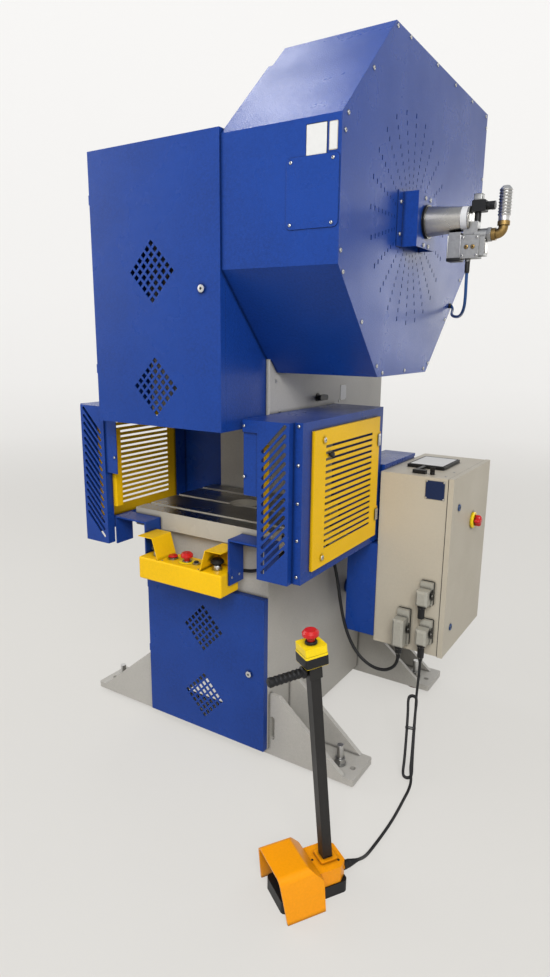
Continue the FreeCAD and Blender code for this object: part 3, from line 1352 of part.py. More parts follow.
def light_curtains():
    bar = box(CURTAIN_X, CURTAIN_Y, CURTAIN_Z)
    bar = bar.makeFillet(CURTAIN_CHAMFER, [edge for edge in bar.Edges if edge.Length > CURTAIN_Y[1] - CURTAIN_Y[0] + 1])
    return group(both_sides(bar))


# ================================================================ console
def console_box():
    body = box((-CONSOLE_HALF, CONSOLE_HALF), CONSOLE_Y, CONSOLE_Z)
    body = body.makeFillet(CONSOLE_ROUND, body.Edges)
    holes = []
    for x, radius in button_stems():
        holes.append(rod(radius + RUNNING_FIT + 0.2, (x, BUTTON_Y, CONSOLE_Z[1] - BUTTON_DEPTH - 12),
                         (x, BUTTON_Y, CONSOLE_Z[1] + 1)))
    top = CONSOLE_Z[1]
    lean = HOOD_KNEE_X - HOOD_FOOT_X
    edge = outline([
        (HOOD_FOOT_X, top - 1), (HOOD_FOOT_X + PANEL, top - 1),
        (HOOD_KNEE_X + PANEL * 0.7, HOOD_Z - PANEL), (HOOD_END_X, HOOD_Z - PANEL),
        (HOOD_END_X, HOOD_Z), (HOOD_KNEE_X - lean * 0.03, HOOD_Z, 4.0),
    ])
    hood = sheet("y", edge, [], HOOD_FRONT, HOOD_REAR)
    wall_edge = outline([
        (HOOD_FOOT_X + 1, top - 1), (HOOD_END_X - 6, top - 1), (HOOD_END_X, HOOD_Z - PANEL / 2),
        (HOOD_KNEE_X, HOOD_Z - PANEL / 2),
    ])
    wall = sheet("y", wall_edge, [], HOOD_REAR - PANEL, HOOD_REAR)
    gland_y = CONSOLE_Y[1] + CONSOLE_GLAND
    gland = rod(CONSOLE_GLAND_RADIUS, (CONSOLE_GLAND_X, CONSOLE_Y[1] - 1, CONSOLE_GLAND_Z),
                (CONSOLE_GLAND_X, gland_y, CONSOLE_GLAND_Z))
    return fuse([body.cut(holes), gland] + both_sides(fuse([hood, wall])))


def button_stems():
    return (
        (-PALM_X, PALM_STEM), (PALM_X, PALM_STEM), (STOP_X, STOP_RADIUS - COLLAR_WALL),
        (ESTOP_X, ESTOP_STEM), (SMALL_X, SMALL_RADIUS - 2),
    )


def button_collars():
    rings = []
    low = CONSOLE_Z[1]
    for x, radius in button_stems():
        ring = rod(radius + RUNNING_FIT + COLLAR_WALL, (x, BUTTON_Y, low), (x, BUTTON_Y, low + COLLAR_HEIGHT))
        bore = rod(radius + RUNNING_FIT, (x, BUTTON_Y, low - 1), (x, BUTTON_Y, low + COLLAR_HEIGHT + 1))
        rings.append(ring.cut(bore))
    return group(rings)


def push_button(x, radius, top, thick, stem):
    """Turned button head with a stem that runs down into the box."""
    bottom = CONSOLE_Z[1] - BUTTON_DEPTH
    crown = min(radius * 0.3, thick * 0.6)
    profile = [
        (bottom, 0), (bottom, stem), (top - thick, stem), (top - thick, radius),
        (top - crown, radius), (top, radius - crown), (top, 0),
    ]
    return turned(profile, (x, BUTTON_Y, 0), (0, 0, 1))


def palm_button(side):
    return push_button(side * PALM_X, PALM_RADIUS, PALM_TOP, PALM_THICK, PALM_STEM)


def palm_button_left():
    return palm_button(-1)


def palm_button_right():
    return palm_button(1)


def stop_button():
    return push_button(STOP_X, STOP_RADIUS, STOP_TOP, STOP_THICK, STOP_RADIUS - COLLAR_WALL)


def console_estop():
    return push_button(ESTOP_X, ESTOP_RADIUS, ESTOP_TOP, ESTOP_THICK, ESTOP_STEM)


def small_button():
    return push_button(SMALL_X, SMALL_RADIUS, SMALL_TOP, SMALL_THICK, SMALL_RADIUS - 2)


def console_brackets():
    """Bent arms from the bolster's front down to the console's ends."""
    inner = (CONSOLE_HALF, CONSOLE_HALF + BRACKET_PLATE)
    plate = box(inner, ARM_Y, (ARM_INNER_Z, ARM_TOP))
    top = box((inner[0], ARM_OUTER_X), ARM_Y, (ARM_TOP - BRACKET_PLATE, ARM_TOP))
    outer = box((ARM_OUTER_X - BRACKET_PLATE, ARM_OUTER_X), ARM_Y, (ARM_OUTER_Z, ARM_TOP))
    foot_plate = box((inner[0], BOLSTER_HALF), (ARM_Y[1] - BRACKET_PLATE, ARM_Y[1]), (ARM_FOOT_Z, ARM_TOP))
    return group(both_sides(fuse([plate, top, outer, foot_plate])))


def console_cable():
    start = (CONSOLE_GLAND_X, CONSOLE_Y[1] + CONSOLE_GLAND, CONSOLE_GLAND_Z)
    gland_x, gland_end = CONNECTORS[0][4], CONNECTORS[0][5]
    points = [start] + list(CONSOLE_CABLE_POINTS) + [(gland_x, GLAND_Y, gland_end)]
    return tube("console_cable", points, CONSOLE_CABLE)


# ================================================================ cabinet
def cabinet_body():
    outer = box(CABINET_X, CABINET_Y, CABINET_Z)
    wall = CABINET_WALL
    inner = box(
        (CABINET_X[0] + wall, CABINET_X[1] + 1), (CABINET_Y[0] + wall, CABINET_Y[1] - wall),
        (CABINET_Z[0] + wall, CABINET_Z[1] - wall),
    )
    lip_hole = rectangle(
        (CABINET_Y[0] + CABINET_LIP, CABINET_Y[1] - CABINET_LIP), (CABINET_Z[0] + CABINET_LIP, CABINET_Z[1] - CABINET_LIP),
    )
    lip = sheet("x", rectangle(CABINET_Y, CABINET_Z), [lip_hole], CABINET_X[1] - wall, CABINET_X[1])
    return fuse([outer.cut(inner), lip])


def cabinet_door():
    """Door pan with a folded rim and two lock barrels."""
    low, high = CABINET_DOOR_X
    face = box((high - CABINET_WALL, high), CABINET_DOOR_Y, CABINET_DOOR_Z)
    rim = box(CABINET_DOOR_X, CABINET_DOOR_Y, CABINET_DOOR_Z)
    rim = rim.cut(box(
        (low - 1, high + 1), (CABINET_DOOR_Y[0] + PANEL, CABINET_DOOR_Y[1] - PANEL),
        (CABINET_DOOR_Z[0] + PANEL, CABINET_DOOR_Z[1] - PANEL),
    ))
    locks = []
    for z in CABINET_LOCK_Z:
        locks.append(rod(LOCK_RADIUS, (low + 3, CABINET_LOCK_Y, z), (high + 4, CABINET_LOCK_Y, z)))
    return fuse([face, rim] + locks + [half[1] for half in cabinet_hinges()])


def switch_base():
    half = SWITCH_BASE / 2
    edge = rectangle((SWITCH_Y - half, SWITCH_Y + half), (SWITCH_Z - half, SWITCH_Z + half), 5.0)
    face = CABINET_DOOR_X[1]
    plate = sheet("x", edge, [], face, face + SWITCH_BASE_THICK)
    return plate.cut(rod(SWITCH_DISC + RUNNING_FIT, (face, SWITCH_Y, SWITCH_Z), (face + 40, SWITCH_Y, SWITCH_Z)))


def main_switch():
    """Rotary handle: a spindle in the base, a disc and a cross grip."""
    face = CABINET_DOOR_X[1]
    front = face + SWITCH_BASE_THICK + SEAT_GAP
    spindle = rod(SWITCH_DISC, (face + 2, SWITCH_Y, SWITCH_Z), (front, SWITCH_Y, SWITCH_Z))
    disc = rod(SWITCH_RADIUS, (front, SWITCH_Y, SWITCH_Z), (front + 6, SWITCH_Y, SWITCH_Z))
    half = SWITCH_GRIP_WIDTH / 2
    grip = box((front + 5, front + SWITCH_GRIP), (SWITCH_Y - half, SWITCH_Y + half),
               (SWITCH_Z - SWITCH_RADIUS, SWITCH_Z + SWITCH_RADIUS))
    return fuse([spindle, disc, grip])


def mounting_plate():
    """Plate on standoffs at the cabinet's back, with rails of devices on it."""
    margin = BACKPLATE_MARGIN
    y_range = (CABINET_Y[0] + margin, CABINET_Y[1] - margin)
    z_range = (CABINET_Z[0] + margin, CABINET_Z[1] - margin)
    front = BACKPLATE_X + BACKPLATE_THICK
    pieces = [box((BACKPLATE_X, front), y_range, z_range)]
    for y in (y_range[0] + margin, y_range[1] - margin):
        for z in (z_range[0] + margin, z_range[1] - margin):
            pieces.append(rod(STANDOFF_RADIUS, (CABINET_X[0] + CABINET_WALL, y, z), (BACKPLATE_X + 1, y, z)))
    usable = y_range[1] - y_range[0] - 2 * margin
    for row, count, depth in zip(RAIL_ROWS, DEVICE_COUNTS, DEVICE_DEPTHS):
        width = (usable - (count - 1) * DEVICE_GAP) / count
        for index in range(count):
            start = y_range[0] + margin + index * (width + DEVICE_GAP)
            pieces.append(box((front - 1, front + depth), (start, start + width), (row - DEVICE_HEIGHT / 2, row + DEVICE_HEIGHT / 2)))
    return fuse(pieces)


def hmi_panel():
    """Raised operator panel with a sunk screen, the lid's latch and its key switch."""
    top = CABINET_Z[1]
    bezel = sheet("z", rectangle(PANEL_X, PANEL_Y, 6.0), [], top, top + PANEL_RISE)
    screen = box(SCREEN_X, SCREEN_Y, (top + PANEL_RISE - SCREEN_SINK, top + PANEL_RISE + 1))
    latch = box(LATCH_X, LATCH_Y, (top, top + LATCH_RISE))
    arm_x = (LATCH_X[0] + 6, LATCH_X[0] + 20)
    arm = box(arm_x, (LATCH_Y[1] - 1, PANEL_Y[0] - 12), (top + LATCH_RISE - 8, top + LATCH_RISE))
    key = rod(KEY_RADIUS, (*KEY_POINT, top), (*KEY_POINT, top + KEY_RISE))
    bow = box((KEY_POINT[0] - 9, KEY_POINT[0] + 9), (KEY_POINT[1] - 2, KEY_POINT[1] + 2), (top + KEY_RISE - 1, top + KEY_RISE + 18))
    return group([bezel.cut(screen), fuse([latch, arm]), fuse([key, bow])])


def column_outline(wall):
    """Side view of the column, stepped back behind the tool guard, drawn in by a wall."""
    top = COLUMN_Z[1] - (COLUMN_CAP if wall else 0)
    return outline([
        (COLUMN_Y[0] + wall, COLUMN_Z[0] - wall), (COLUMN_Y[1] - wall, COLUMN_Z[0] - wall),
        (COLUMN_Y[1] - wall, top), (COLUMN_NOTCH_Y + wall, top),
        (COLUMN_NOTCH_Y + wall, COLUMN_NOTCH_Z - wall), (COLUMN_Y[0] + wall, COLUMN_NOTCH_Z - wall),
    ])


def cabinet_support():
    """Box column beside the frame, open below, hung on two spacer tubes, with a cap plate."""
    wall = COLUMN_WALL
    outer = sheet("x", column_outline(0), [], *COLUMN_X)
    inner = sheet("x", column_outline(wall), [], COLUMN_X[0] + wall, COLUMN_X[1] - wall)
    cap = box(
        (COLUMN_X[0] - COLUMN_CAP_EDGE, COLUMN_X[1]), (COLUMN_NOTCH_Y, COLUMN_Y[1] + COLUMN_CAP_EDGE),
        (COLUMN_Z[1] - COLUMN_CAP, COLUMN_Z[1]),
    )
    pieces = [outer.cut(inner), cap]
    for z in SPACER_Z:
        pieces.append(rod(SPACER_RADIUS, (FRAME_HALF, SPACER_Y, z), (COLUMN_X[0] + 1, SPACER_Y, z)))
    return fuse(pieces)


def connectors():
    """Square cable connectors on the cabinet's front, each with a gland below."""
    plugs = []
    face = CABINET_Y[0]
    base_front = face - PLUG_BASE_DEPTH
    hood_front = base_front - PLUG_DEPTH
    for base_x, base_z, hood_x, hood_z, gland_x, gland_end in CONNECTORS:
        base = box(base_x, (base_front, face), base_z)
        hood = box(hood_x, (hood_front, base_front + 1), hood_z)
        upright = [edge for edge in hood.Edges if abs(edge.CenterOfMass.y - hood_front) < 0.1]
        hood = hood.makeChamfer(PLUG_CHAMFER, upright)
        gland = rod(GLAND_RADIUS, (gland_x, GLAND_Y, gland_end), (gland_x, GLAND_Y, hood_z[0] + 1))
        nut = rod(GLAND_NUT_RADIUS, (gland_x, GLAND_Y, hood_z[0] - GLAND_NUT), (gland_x, GLAND_Y, hood_z[0] + 1))
        plugs.append(fuse([base, hood, gland, nut]))
    return group(plugs)


def side_knob():
    """Wing knob with a washer on the right side plate."""
    x = FRAME_HALF
    washer = rod(KNOB_WASHER_RADIUS, (x, KNOB_Y, KNOB_Z), (x + 3, KNOB_Y, KNOB_Z))
    stud = rod(KNOB_STUD_RADIUS, (x, KNOB_Y, KNOB_Z), (x + KNOB_STUD, KNOB_Y, KNOB_Z))
    half = KNOB_WING / 2 - KNOB_WIDTH / 2
    edge = round_slot((KNOB_Y - half, KNOB_Z), (KNOB_Y + half, KNOB_Z), KNOB_WIDTH)
    wing = sheet("x", edge, [], x + KNOB_STUD - 1, x + KNOB_STUD + KNOB_THICK)
    return fuse([washer, stud, wing])


# ================================================================ foot pedal
def place_pedal(shape):
    """From the pedal's own axes, u rearwards and w to its left, to the machine's."""
    shape.rotate(Vector(0, 0, 0), Vector(0, 0, 1), PEDAL_TURN)
    shape.translate(Vector(PEDAL_X, PEDAL_Y, 0))
    return shape


def lean_post(shape):
    """From an upright post standing at the body's top to its leaning place."""
    shape.rotate(Vector(0, 0, 0), Vector(0, 1, 0), -POST_LEAN)
    shape.translate(Vector(POST_U, 0, NECK_TOP))
    return place_pedal(shape)


def pedal_point(u, w, z):
    turn = math.radians(PEDAL_TURN)
    x = PEDAL_X + u * math.cos(turn) - w * math.sin(turn)
    y = PEDAL_Y + u * math.sin(turn) + w * math.cos(turn)
    return (x, y, z)


def pedal_base():
    """Black base with the two ears and the pin that carry the treadle."""
    edge = rectangle((-PEDAL_LENGTH, 0), (-PEDAL_HALF, PEDAL_HALF), PEDAL_BASE_ROUND)
    base = sheet("z", edge, [], 0, PEDAL_BASE_HEIGHT)
    pieces = [base]
    ear_low = TREADLE_HALF + BODY_GAP
    u_range = (TREADLE_PIVOT_U - TREADLE_BOSS, TREADLE_PIVOT_U + TREADLE_BOSS)
    for side in (-1, 1):
        w_range = sorted((side * ear_low, side * (ear_low + TREADLE_EAR)))
        pieces.append(box(u_range, w_range, (PEDAL_BASE_HEIGHT - 1, TREADLE_Z + TREADLE_BOSS)))
    reach = ear_low + TREADLE_EAR - 1
    pin = rod(TREADLE_PIN, (TREADLE_PIVOT_U, -reach, TREADLE_Z), (TREADLE_PIVOT_U, reach, TREADLE_Z))
    return place_pedal(fuse(pieces + [pin]))


def shell_section(offset):
    """Cross-section of the hood's outside, drawn in by an offset."""
    crease_w, crease_z = SHELL_CREASE
    crest_w, crest_z = SHELL_CREST
    foot_w = SHELL_FOOT - offset
    return [
        (foot_w, -offset), (crease_w - offset, crease_z), (crest_w - offset, crest_z - offset, SHELL_CREST_ROUND - offset),
        (-crest_w + offset, crest_z - offset, SHELL_CREST_ROUND - offset), (-crease_w + offset, crease_z), (-foot_w, -offset),
    ]


def pedal_hood():
    """Yellow hood over the treadle, in one casting with the body behind it."""
    def across(offset, start, end):
        body = sheet("x", outline(shell_section(offset)), [], start, end)
        return body

    length = PEDAL_LENGTH
    side_outer = outline([
        (-length, 0), (-length - SHELL_LEAN, SHELL_CREST[1] + 1), (SHELL_CREST_REAR, SHELL_CREST[1] + 1, 20.0),
        (SHELL_REAR, NECK_TOP), (SHELL_REAR, 0),
    ])
    wall = SHELL_WALL
    side_inner = outline([
        (-length - 60, -1), (-length - 60, SHELL_CREST[1] - wall), (SHELL_CREST_REAR, SHELL_CREST[1] - wall, 16.0),
        (SHELL_REAR - wall * 1.5, NECK_TOP - wall), (SHELL_REAR - wall * 1.5, -1),
    ])
    outer = across(0, -length - 40, 10).common(sheet("y", side_outer, [], -SHELL_FOOT - 10, SHELL_FOOT + 10))
    inner = across(wall, -length - 80, 10).common(sheet("y", side_inner, [], -SHELL_FOOT - 10, SHELL_FOOT + 10))
    hood = outer.cut(inner)
    base_space = box((-length - BODY_GAP, 1), (-PEDAL_HALF, PEDAL_HALF), (-1, PEDAL_BASE_HEIGHT))
    body_edge = outline([
        (SHELL_REAR - wall, -NECK_HALF), (-24, -NECK_HALF, 8.0), (0, -NECK_REAR_HALF, 8.0),
        (0, NECK_REAR_HALF, 8.0), (-24, NECK_HALF, 8.0), (SHELL_REAR - wall, NECK_HALF),
    ])
    body = sheet("z", body_edge, [], PEDAL_BASE_HEIGHT, NECK_TOP)
    gland_start = -3.0
    gland = rod(
        PEDAL_GLAND_RADIUS, (gland_start - 12, -PEDAL_GLAND_V, PEDAL_GLAND_Z),
        (PEDAL_GLAND_LENGTH, -PEDAL_GLAND_V, PEDAL_GLAND_Z),
    )
    return place_pedal(fuse([hood.cut(base_space), body, gland]))


def pedal_treadle():
    """Foot plate with a tread lip, turning on the base's pin."""
    half = TREADLE_HALF
    plate = box((TREADLE_FRONT, TREADLE_PIVOT_U), (-half, half), (TREADLE_Z - TREADLE_THICK / 2, TREADLE_Z + TREADLE_THICK / 2))
    boss = rod(TREADLE_BOSS, (TREADLE_PIVOT_U, -half, TREADLE_Z), (TREADLE_PIVOT_U, half, TREADLE_Z))
    ribs = []
    for index in range(4):
        u = TREADLE_FRONT + 14 + index * 16
        ribs.append(box((u, u + 5), (-half + 6, half - 6), (TREADLE_Z, TREADLE_Z + TREADLE_THICK / 2 + 2)))
    bore = rod(TREADLE_PIN + RUNNING_FIT, (TREADLE_PIVOT_U, -half - 1, TREADLE_Z), (TREADLE_PIVOT_U, half + 1, TREADLE_Z))
    return place_pedal(fuse([plate, boss] + ribs).cut(bore))


def pedal_post():
    half = POST_SIZE / 2
    tube_body = box((-half, half), (-half, half), (-POST_FOOT_THICK, POST_LENGTH))
    neck_half = POST_NECK_SIZE / 2
    neck = box((-neck_half, neck_half), (-neck_half, neck_half), (POST_LENGTH - 8, POST_NECK))
    foot_half = POST_FOOT / 2
    foot_plate = box((-foot_half, foot_half), (-foot_half, foot_half), (0, POST_FOOT_THICK))
    below = box((-POST_SIZE, POST_SIZE), (-POST_SIZE, POST_SIZE), (-POST_FOOT, 0))
    post = fuse([tube_body, neck])
    post.rotate(Vector(0, 0, 0), Vector(0, 1, 0), -POST_LEAN)
    standing = fuse([post.cut(below), foot_plate])
    standing.translate(Vector(POST_U, 0, NECK_TOP))
    return place_pedal(standing)


def pedal_handle():
    """Ribbed grip on a stub from the post's neck, pointing forwards."""
    inner = POST_NECK_SIZE / 2
    pitch = (HANDLE_REACH - inner - 24) / HANDLE_RIBS
    profile = [(inner, 0), (inner, HANDLE_GROOVE_RADIUS), (inner + 8, HANDLE_GUARD_RADIUS), (inner + 14, HANDLE_GUARD_RADIUS)]
    for rib in range(HANDLE_RIBS):
        start = inner + 14 + rib * pitch
        profile.append((start + pitch * 0.3, HANDLE_GROOVE_RADIUS))
        profile.append((start + pitch, HANDLE_RADIUS))
    profile += [(HANDLE_REACH - 4, HANDLE_RADIUS), (HANDLE_REACH, HANDLE_RADIUS - 4), (HANDLE_REACH, 0)]
    return lean_post(turned(profile, (0, 0, HANDLE_T), (-1, 0, 0)))


def estop_box():
    """Square housing on the post: dark base, raised lid and the button's hole."""
    half = BOX_SIZE / 2
    base = sheet("z", rectangle((-half, half), (-half, half), BOX_ROUND), [], POST_NECK, BOX_BASE)
    inset_half = half - 1.0
    lid = sheet("z", rectangle((-inset_half, inset_half), (-inset_half, inset_half), BOX_ROUND), [], BOX_BASE - 1, BOX_LID)
    hole = rod(MUSHROOM_STEM + RUNNING_FIT, (0, 0, BOX_LID - MUSHROOM_DEPTH - 10), (0, 0, BOX_LID + 1))
    return lean_post(fuse([base, lid]).cut(hole))


def pedal_estop():
    crown = MUSHROOM_RADIUS * 0.3
    profile = [
        (BOX_LID - MUSHROOM_DEPTH, 0), (BOX_LID - MUSHROOM_DEPTH, MUSHROOM_STEM),
        (MUSHROOM_TOP - MUSHROOM_THICK, MUSHROOM_STEM), (MUSHROOM_TOP - MUSHROOM_THICK, MUSHROOM_RADIUS),
        (MUSHROOM_TOP - crown, MUSHROOM_RADIUS), (MUSHROOM_TOP, MUSHROOM_RADIUS - crown), (MUSHROOM_TOP, 0),
    ]
    return lean_post(turned(profile, (0, 0, 0), (0, 0, 1)))


# ================================================================ pedal cable
def hank_route():
    """Loops of the hanging hank, drawn out from top to bottom, a layer further out on each turn."""
    top = Vector(*HANK_TOP)
    low = Vector(*HANK_LOW)
    along = (low - top).normalize()
    side = Vector(-along.y, along.x, 0).normalize()
    out = along.cross(side)
    half = HANK_WIDTH / 2
    points = [top + side * half]
    for turn in range(HANK_TURNS):
        near = out * (turn * HANK_STEP)
        far = out * ((turn + 1) * HANK_STEP)
        points.append(low + side * half + near)
        points.append(low - side * half + near)
        points.append(top - side * half + far)
        points.append(top + side * half + far)
    points.append(low + side * half + out * (HANK_TURNS * HANK_STEP) - along * HANK_TAIL)
    return points


def lead(end, inside):
    """The point that makes a cable's run straight where it meets an end face."""
    end = Vector(*end)
    return tuple(end + (end - Vector(*inside)).normalize() * LEAD)


def hank_gap(points):
    """Least gap between strands that aren't neighbours along the hank, on points 4 mm apart."""
    wire, length, _ = route(points)
    samples = wire.discretize(Number=int(length / 4))
    reach = 14
    least = None
    for first in range(len(samples)):
        for second in range(first + reach, len(samples)):
            distance = samples[first].distanceToPoint(samples[second])
            if least is None or distance < least:
                least = distance
    return least - PEDAL_CABLE


def pedal_cable_upper():
    gland_x, gland_end = CONNECTORS[2][4], CONNECTORS[2][5]
    first, second = (tuple(point) for point in hank_route()[:2])
    points = [(gland_x, GLAND_Y, gland_end)] + list(UPPER_CABLE_POINTS) + [lead(first, second), first]
    return tube("pedal_cable_upper", points, PEDAL_CABLE)


def pedal_cable_hank():
    points = [tuple(point) for point in hank_route()]
    print("pedal_cable_hank least gap", round(hank_gap(points), 2))
    return tube("pedal_cable_hank", points, PEDAL_CABLE)


def pedal_cable_lower():
    before, start = (tuple(point) for point in hank_route()[-2:])
    end = pedal_point(PEDAL_GLAND_LENGTH, -PEDAL_GLAND_V, PEDAL_GLAND_Z)
    inside = pedal_point(0, -PEDAL_GLAND_V, PEDAL_GLAND_Z)
    points = [start, lead(start, before)] + list(FLOOR_CABLE_POINTS) + [lead(end, inside), end]
    return tube("pedal_cable_lower", points, PEDAL_CABLE)


# ================================================================ all pieces
CORD_NODES = ("air_hose", "console_cable", "pedal_cable_upper", "pedal_cable_hank", "pedal_cable_lower")
MAKERS = {
    "tool_guard_right": right_tool_guard,
    "tool_guard_left": lambda: mirrored(right_tool_guard()),
    "side_door_right": right_side_door,
    "side_door_left": lambda: mirrored(right_side_door()),
}
PLAIN_MAKERS = (
    frame_body, levelling_pads, levelling_bolts, bolster_plate, main_bearings, crankshaft, connecting_rod,
    slide, slide_gibs, flywheel, motor, motor_pulley, drive_belts, upper_cover, upper_door, lower_door,
    door_hinges, flywheel_guard, flywheel_guard_plate, inspection_cover, clutch_bracket, rotary_cylinder,
    valve_block, valve_connector, exhaust_elbow, exhaust_silencer, air_hose, light_curtains, console_box,
    button_collars, palm_button_left, palm_button_right, stop_button, console_estop, small_button,
    console_brackets, console_cable, cabinet_body, cabinet_door, switch_base, main_switch, mounting_plate,
    hmi_panel, cabinet_support, connectors, side_knob, pedal_base, pedal_hood, pedal_treadle, pedal_post,
    pedal_handle, estop_box, pedal_estop, pedal_cable_upper, pedal_cable_hank, pedal_cable_lower,
)
for maker in PLAIN_MAKERS:
    MAKERS[maker.__name__] = maker


def build():
    """All shapes by name, and the shift that puts the origin at the bottom centre of the rigid pieces."""
    shapes = {name: maker() for name, maker in MAKERS.items()}
    whole = FreeCAD.BoundBox()
    for name, shape in shapes.items():
        if name not in CORD_NODES:
            whole.add(shape.BoundBox)
    shift = Vector(-whole.Center.x, -whole.Center.y, -whole.ZMin)
    for shape in shapes.values():
        shape.translate(shift)
    return shapes, shift


def main():
    os.makedirs("parts", exist_ok=True)
    shapes, _ = build()
    for name, shape in shapes.items():
        if not shape.isValid():
            print("not valid:", name)
        shape.exportStep(os.path.join("parts", name + ".step"))
    print(len(shapes), "nodes,", sum(len(shape.Solids) for shape in shapes.values()), "solids")


main()
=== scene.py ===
"""Looks of a mechanical stamping press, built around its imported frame.

Each sub-assembly is a class that holds its sizes and dresses its own pieces. Sizes are in
millimetres on the press's own axes (X from the centre plane, Y from the crankshaft, Z from the
floor), and Setting.spot moves a place into the frame's metres.
"""
from __future__ import annotations

import json
import logging
import math
from dataclasses import dataclass
from enum import Enum
from typing import NamedTuple, Sequence
import bmesh
import bpy
from mathutils import Matrix, Vector


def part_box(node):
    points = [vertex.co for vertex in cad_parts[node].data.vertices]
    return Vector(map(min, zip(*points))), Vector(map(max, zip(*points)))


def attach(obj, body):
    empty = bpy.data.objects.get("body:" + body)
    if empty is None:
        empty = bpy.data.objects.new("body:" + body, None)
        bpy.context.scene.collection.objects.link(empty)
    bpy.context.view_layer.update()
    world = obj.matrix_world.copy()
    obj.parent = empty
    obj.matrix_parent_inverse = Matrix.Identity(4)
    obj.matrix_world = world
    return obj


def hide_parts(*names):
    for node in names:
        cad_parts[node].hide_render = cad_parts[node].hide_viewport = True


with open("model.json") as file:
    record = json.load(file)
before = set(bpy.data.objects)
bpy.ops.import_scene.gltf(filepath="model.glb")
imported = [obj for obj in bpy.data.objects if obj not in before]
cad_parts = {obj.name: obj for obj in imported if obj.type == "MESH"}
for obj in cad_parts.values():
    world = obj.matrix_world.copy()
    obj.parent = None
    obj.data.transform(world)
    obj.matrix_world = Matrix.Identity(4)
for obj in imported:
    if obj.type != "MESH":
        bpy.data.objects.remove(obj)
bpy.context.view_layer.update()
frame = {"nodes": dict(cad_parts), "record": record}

LOG = logging.getLogger("press")
Point = tuple[float, float, float]
Pair = tuple[float, float]
MILLI = 0.001
ROOT = "machine"
RIGHT, FRONT, UP, DOWN = (1, 0, 0), (0, -1, 0), (0, 0, 1), (0, 0, -1)
UNTURNED = Matrix.Identity(3)
SMOOTH_LIMIT = math.radians(40.0)   # edges flatter than this are shaded smooth
WELD_REACH = 1e-6                   # vertices nearer than this are one, in metres
CORNER_STEPS = 5                    # vertices in a lofted piece's round corner
BAND_EDGE = 0.2                     # bevel of a band's outer edges, in millimetres
BEVEL_STEPS = 3                     # faces across a block's rounded edge
BEVEL_LIMIT = 0.45                  # widest bevel, as a share of a block's smallest side
CORD_SIDES = 4                      # bevel resolution of a cord's section
CORD_STEPS = 10                     # segments between two points of a cord
CORD_ORDER = 3                      # order of a cord's spline


# ---------------------------------------------------------------- finishes
class Grain(Enum):
    """The fine relief that a finish has."""

    ORANGE_PEEL = "orange_peel"
    BRUSHED_X = "brushed_x"
    BRUSHED_Y = "brushed_y"
    TURNED = "turned"
    CAST = "cast"
    MOULDED = "moulded"


@dataclass(frozen=True)
class Relief:
    """Noise scales and depth of a grain.

    Args:
        stretch: scale of the pattern along X, Y and Z, per metre.
        height: depth of the bump, in metres.
        detail: octaves of the noise.
    """

    stretch: Point
    height: float
    detail: float


RELIEFS = {
    Grain.ORANGE_PEEL: Relief((300.0, 300.0, 300.0), 0.0006, 2.0),
    Grain.BRUSHED_X: Relief((14.0, 900.0, 900.0), 0.00006, 3.0),
    Grain.BRUSHED_Y: Relief((900.0, 14.0, 900.0), 0.00006, 3.0),
    Grain.TURNED: Relief((1400.0, 18.0, 18.0), 0.00005, 2.0),
    Grain.CAST: Relief((260.0, 260.0, 260.0), 0.0009, 5.0),
    Grain.MOULDED: Relief((900.0, 900.0, 900.0), 0.00012, 2.0),
}


NOISE_RANGE = (0.3, 0.7)        # where most of a noise's values lie
UNIT_RANGE = (0.0, 1.0)
CLOUDS = Relief((5.0, 5.0, 5.0), 0.0, 5.0)
SPECKS = Relief((150.0, 150.0, 150.0), 0.0, 3.0)
TINT_RANGE = (0.12, 0.42)       # clouds times specks, from clean to fully shaded
BUMP_STRENGTH = 0.6
EDGE_RADIUS = 0.0012            # of the soft edge that light catches, in metres
EDGE_SAMPLES = 4
# Painted shade in corners, slots and seams: ambient-occlusion samples, reach and power.
CORNER_SHADE_SAMPLES = 6
CORNER_SHADE_REACH = 0.012            # how far from a corner the painted shade goes, in metres
CORNER_SHADE_POWER = 1.5
BARE_SLOPE = 0.7                # upward part of the normal from which a top is bare metal


class NodeTree:
    """A node tree, built one node at a time."""

    def __init__(self, tree: bpy.types.NodeTree) -> None:
        """Keep the tree that is filled."""
        self.tree = tree

    def add(self, kind: str, settings: dict | None = None,
            sockets: dict | None = None) -> bpy.types.Node:
        """Add a node.

        Args:
            kind: the node's type.
            settings: properties to set on it.
            sockets: input name or number to a value, or to an output that is linked to it.

        Returns:
            The new node.
        """
        node = self.tree.nodes.new(kind)
        for key, value in (settings or {}).items():
            setattr(node, key, value)
        for key, value in (sockets or {}).items():
            if isinstance(value, bpy.types.NodeSocket):
                self.tree.links.new(value, node.inputs[key])
            else:
                node.inputs[key].default_value = value
        return node

    def math(self, operation: str, first: bpy.types.NodeSocket,
             second: bpy.types.NodeSocket | float) -> bpy.types.NodeSocket:
        """Output of an operation on two values."""
        node = self.add("ShaderNodeMath", {"operation": operation}, {0: first, 1: second})
        return node.outputs[0]


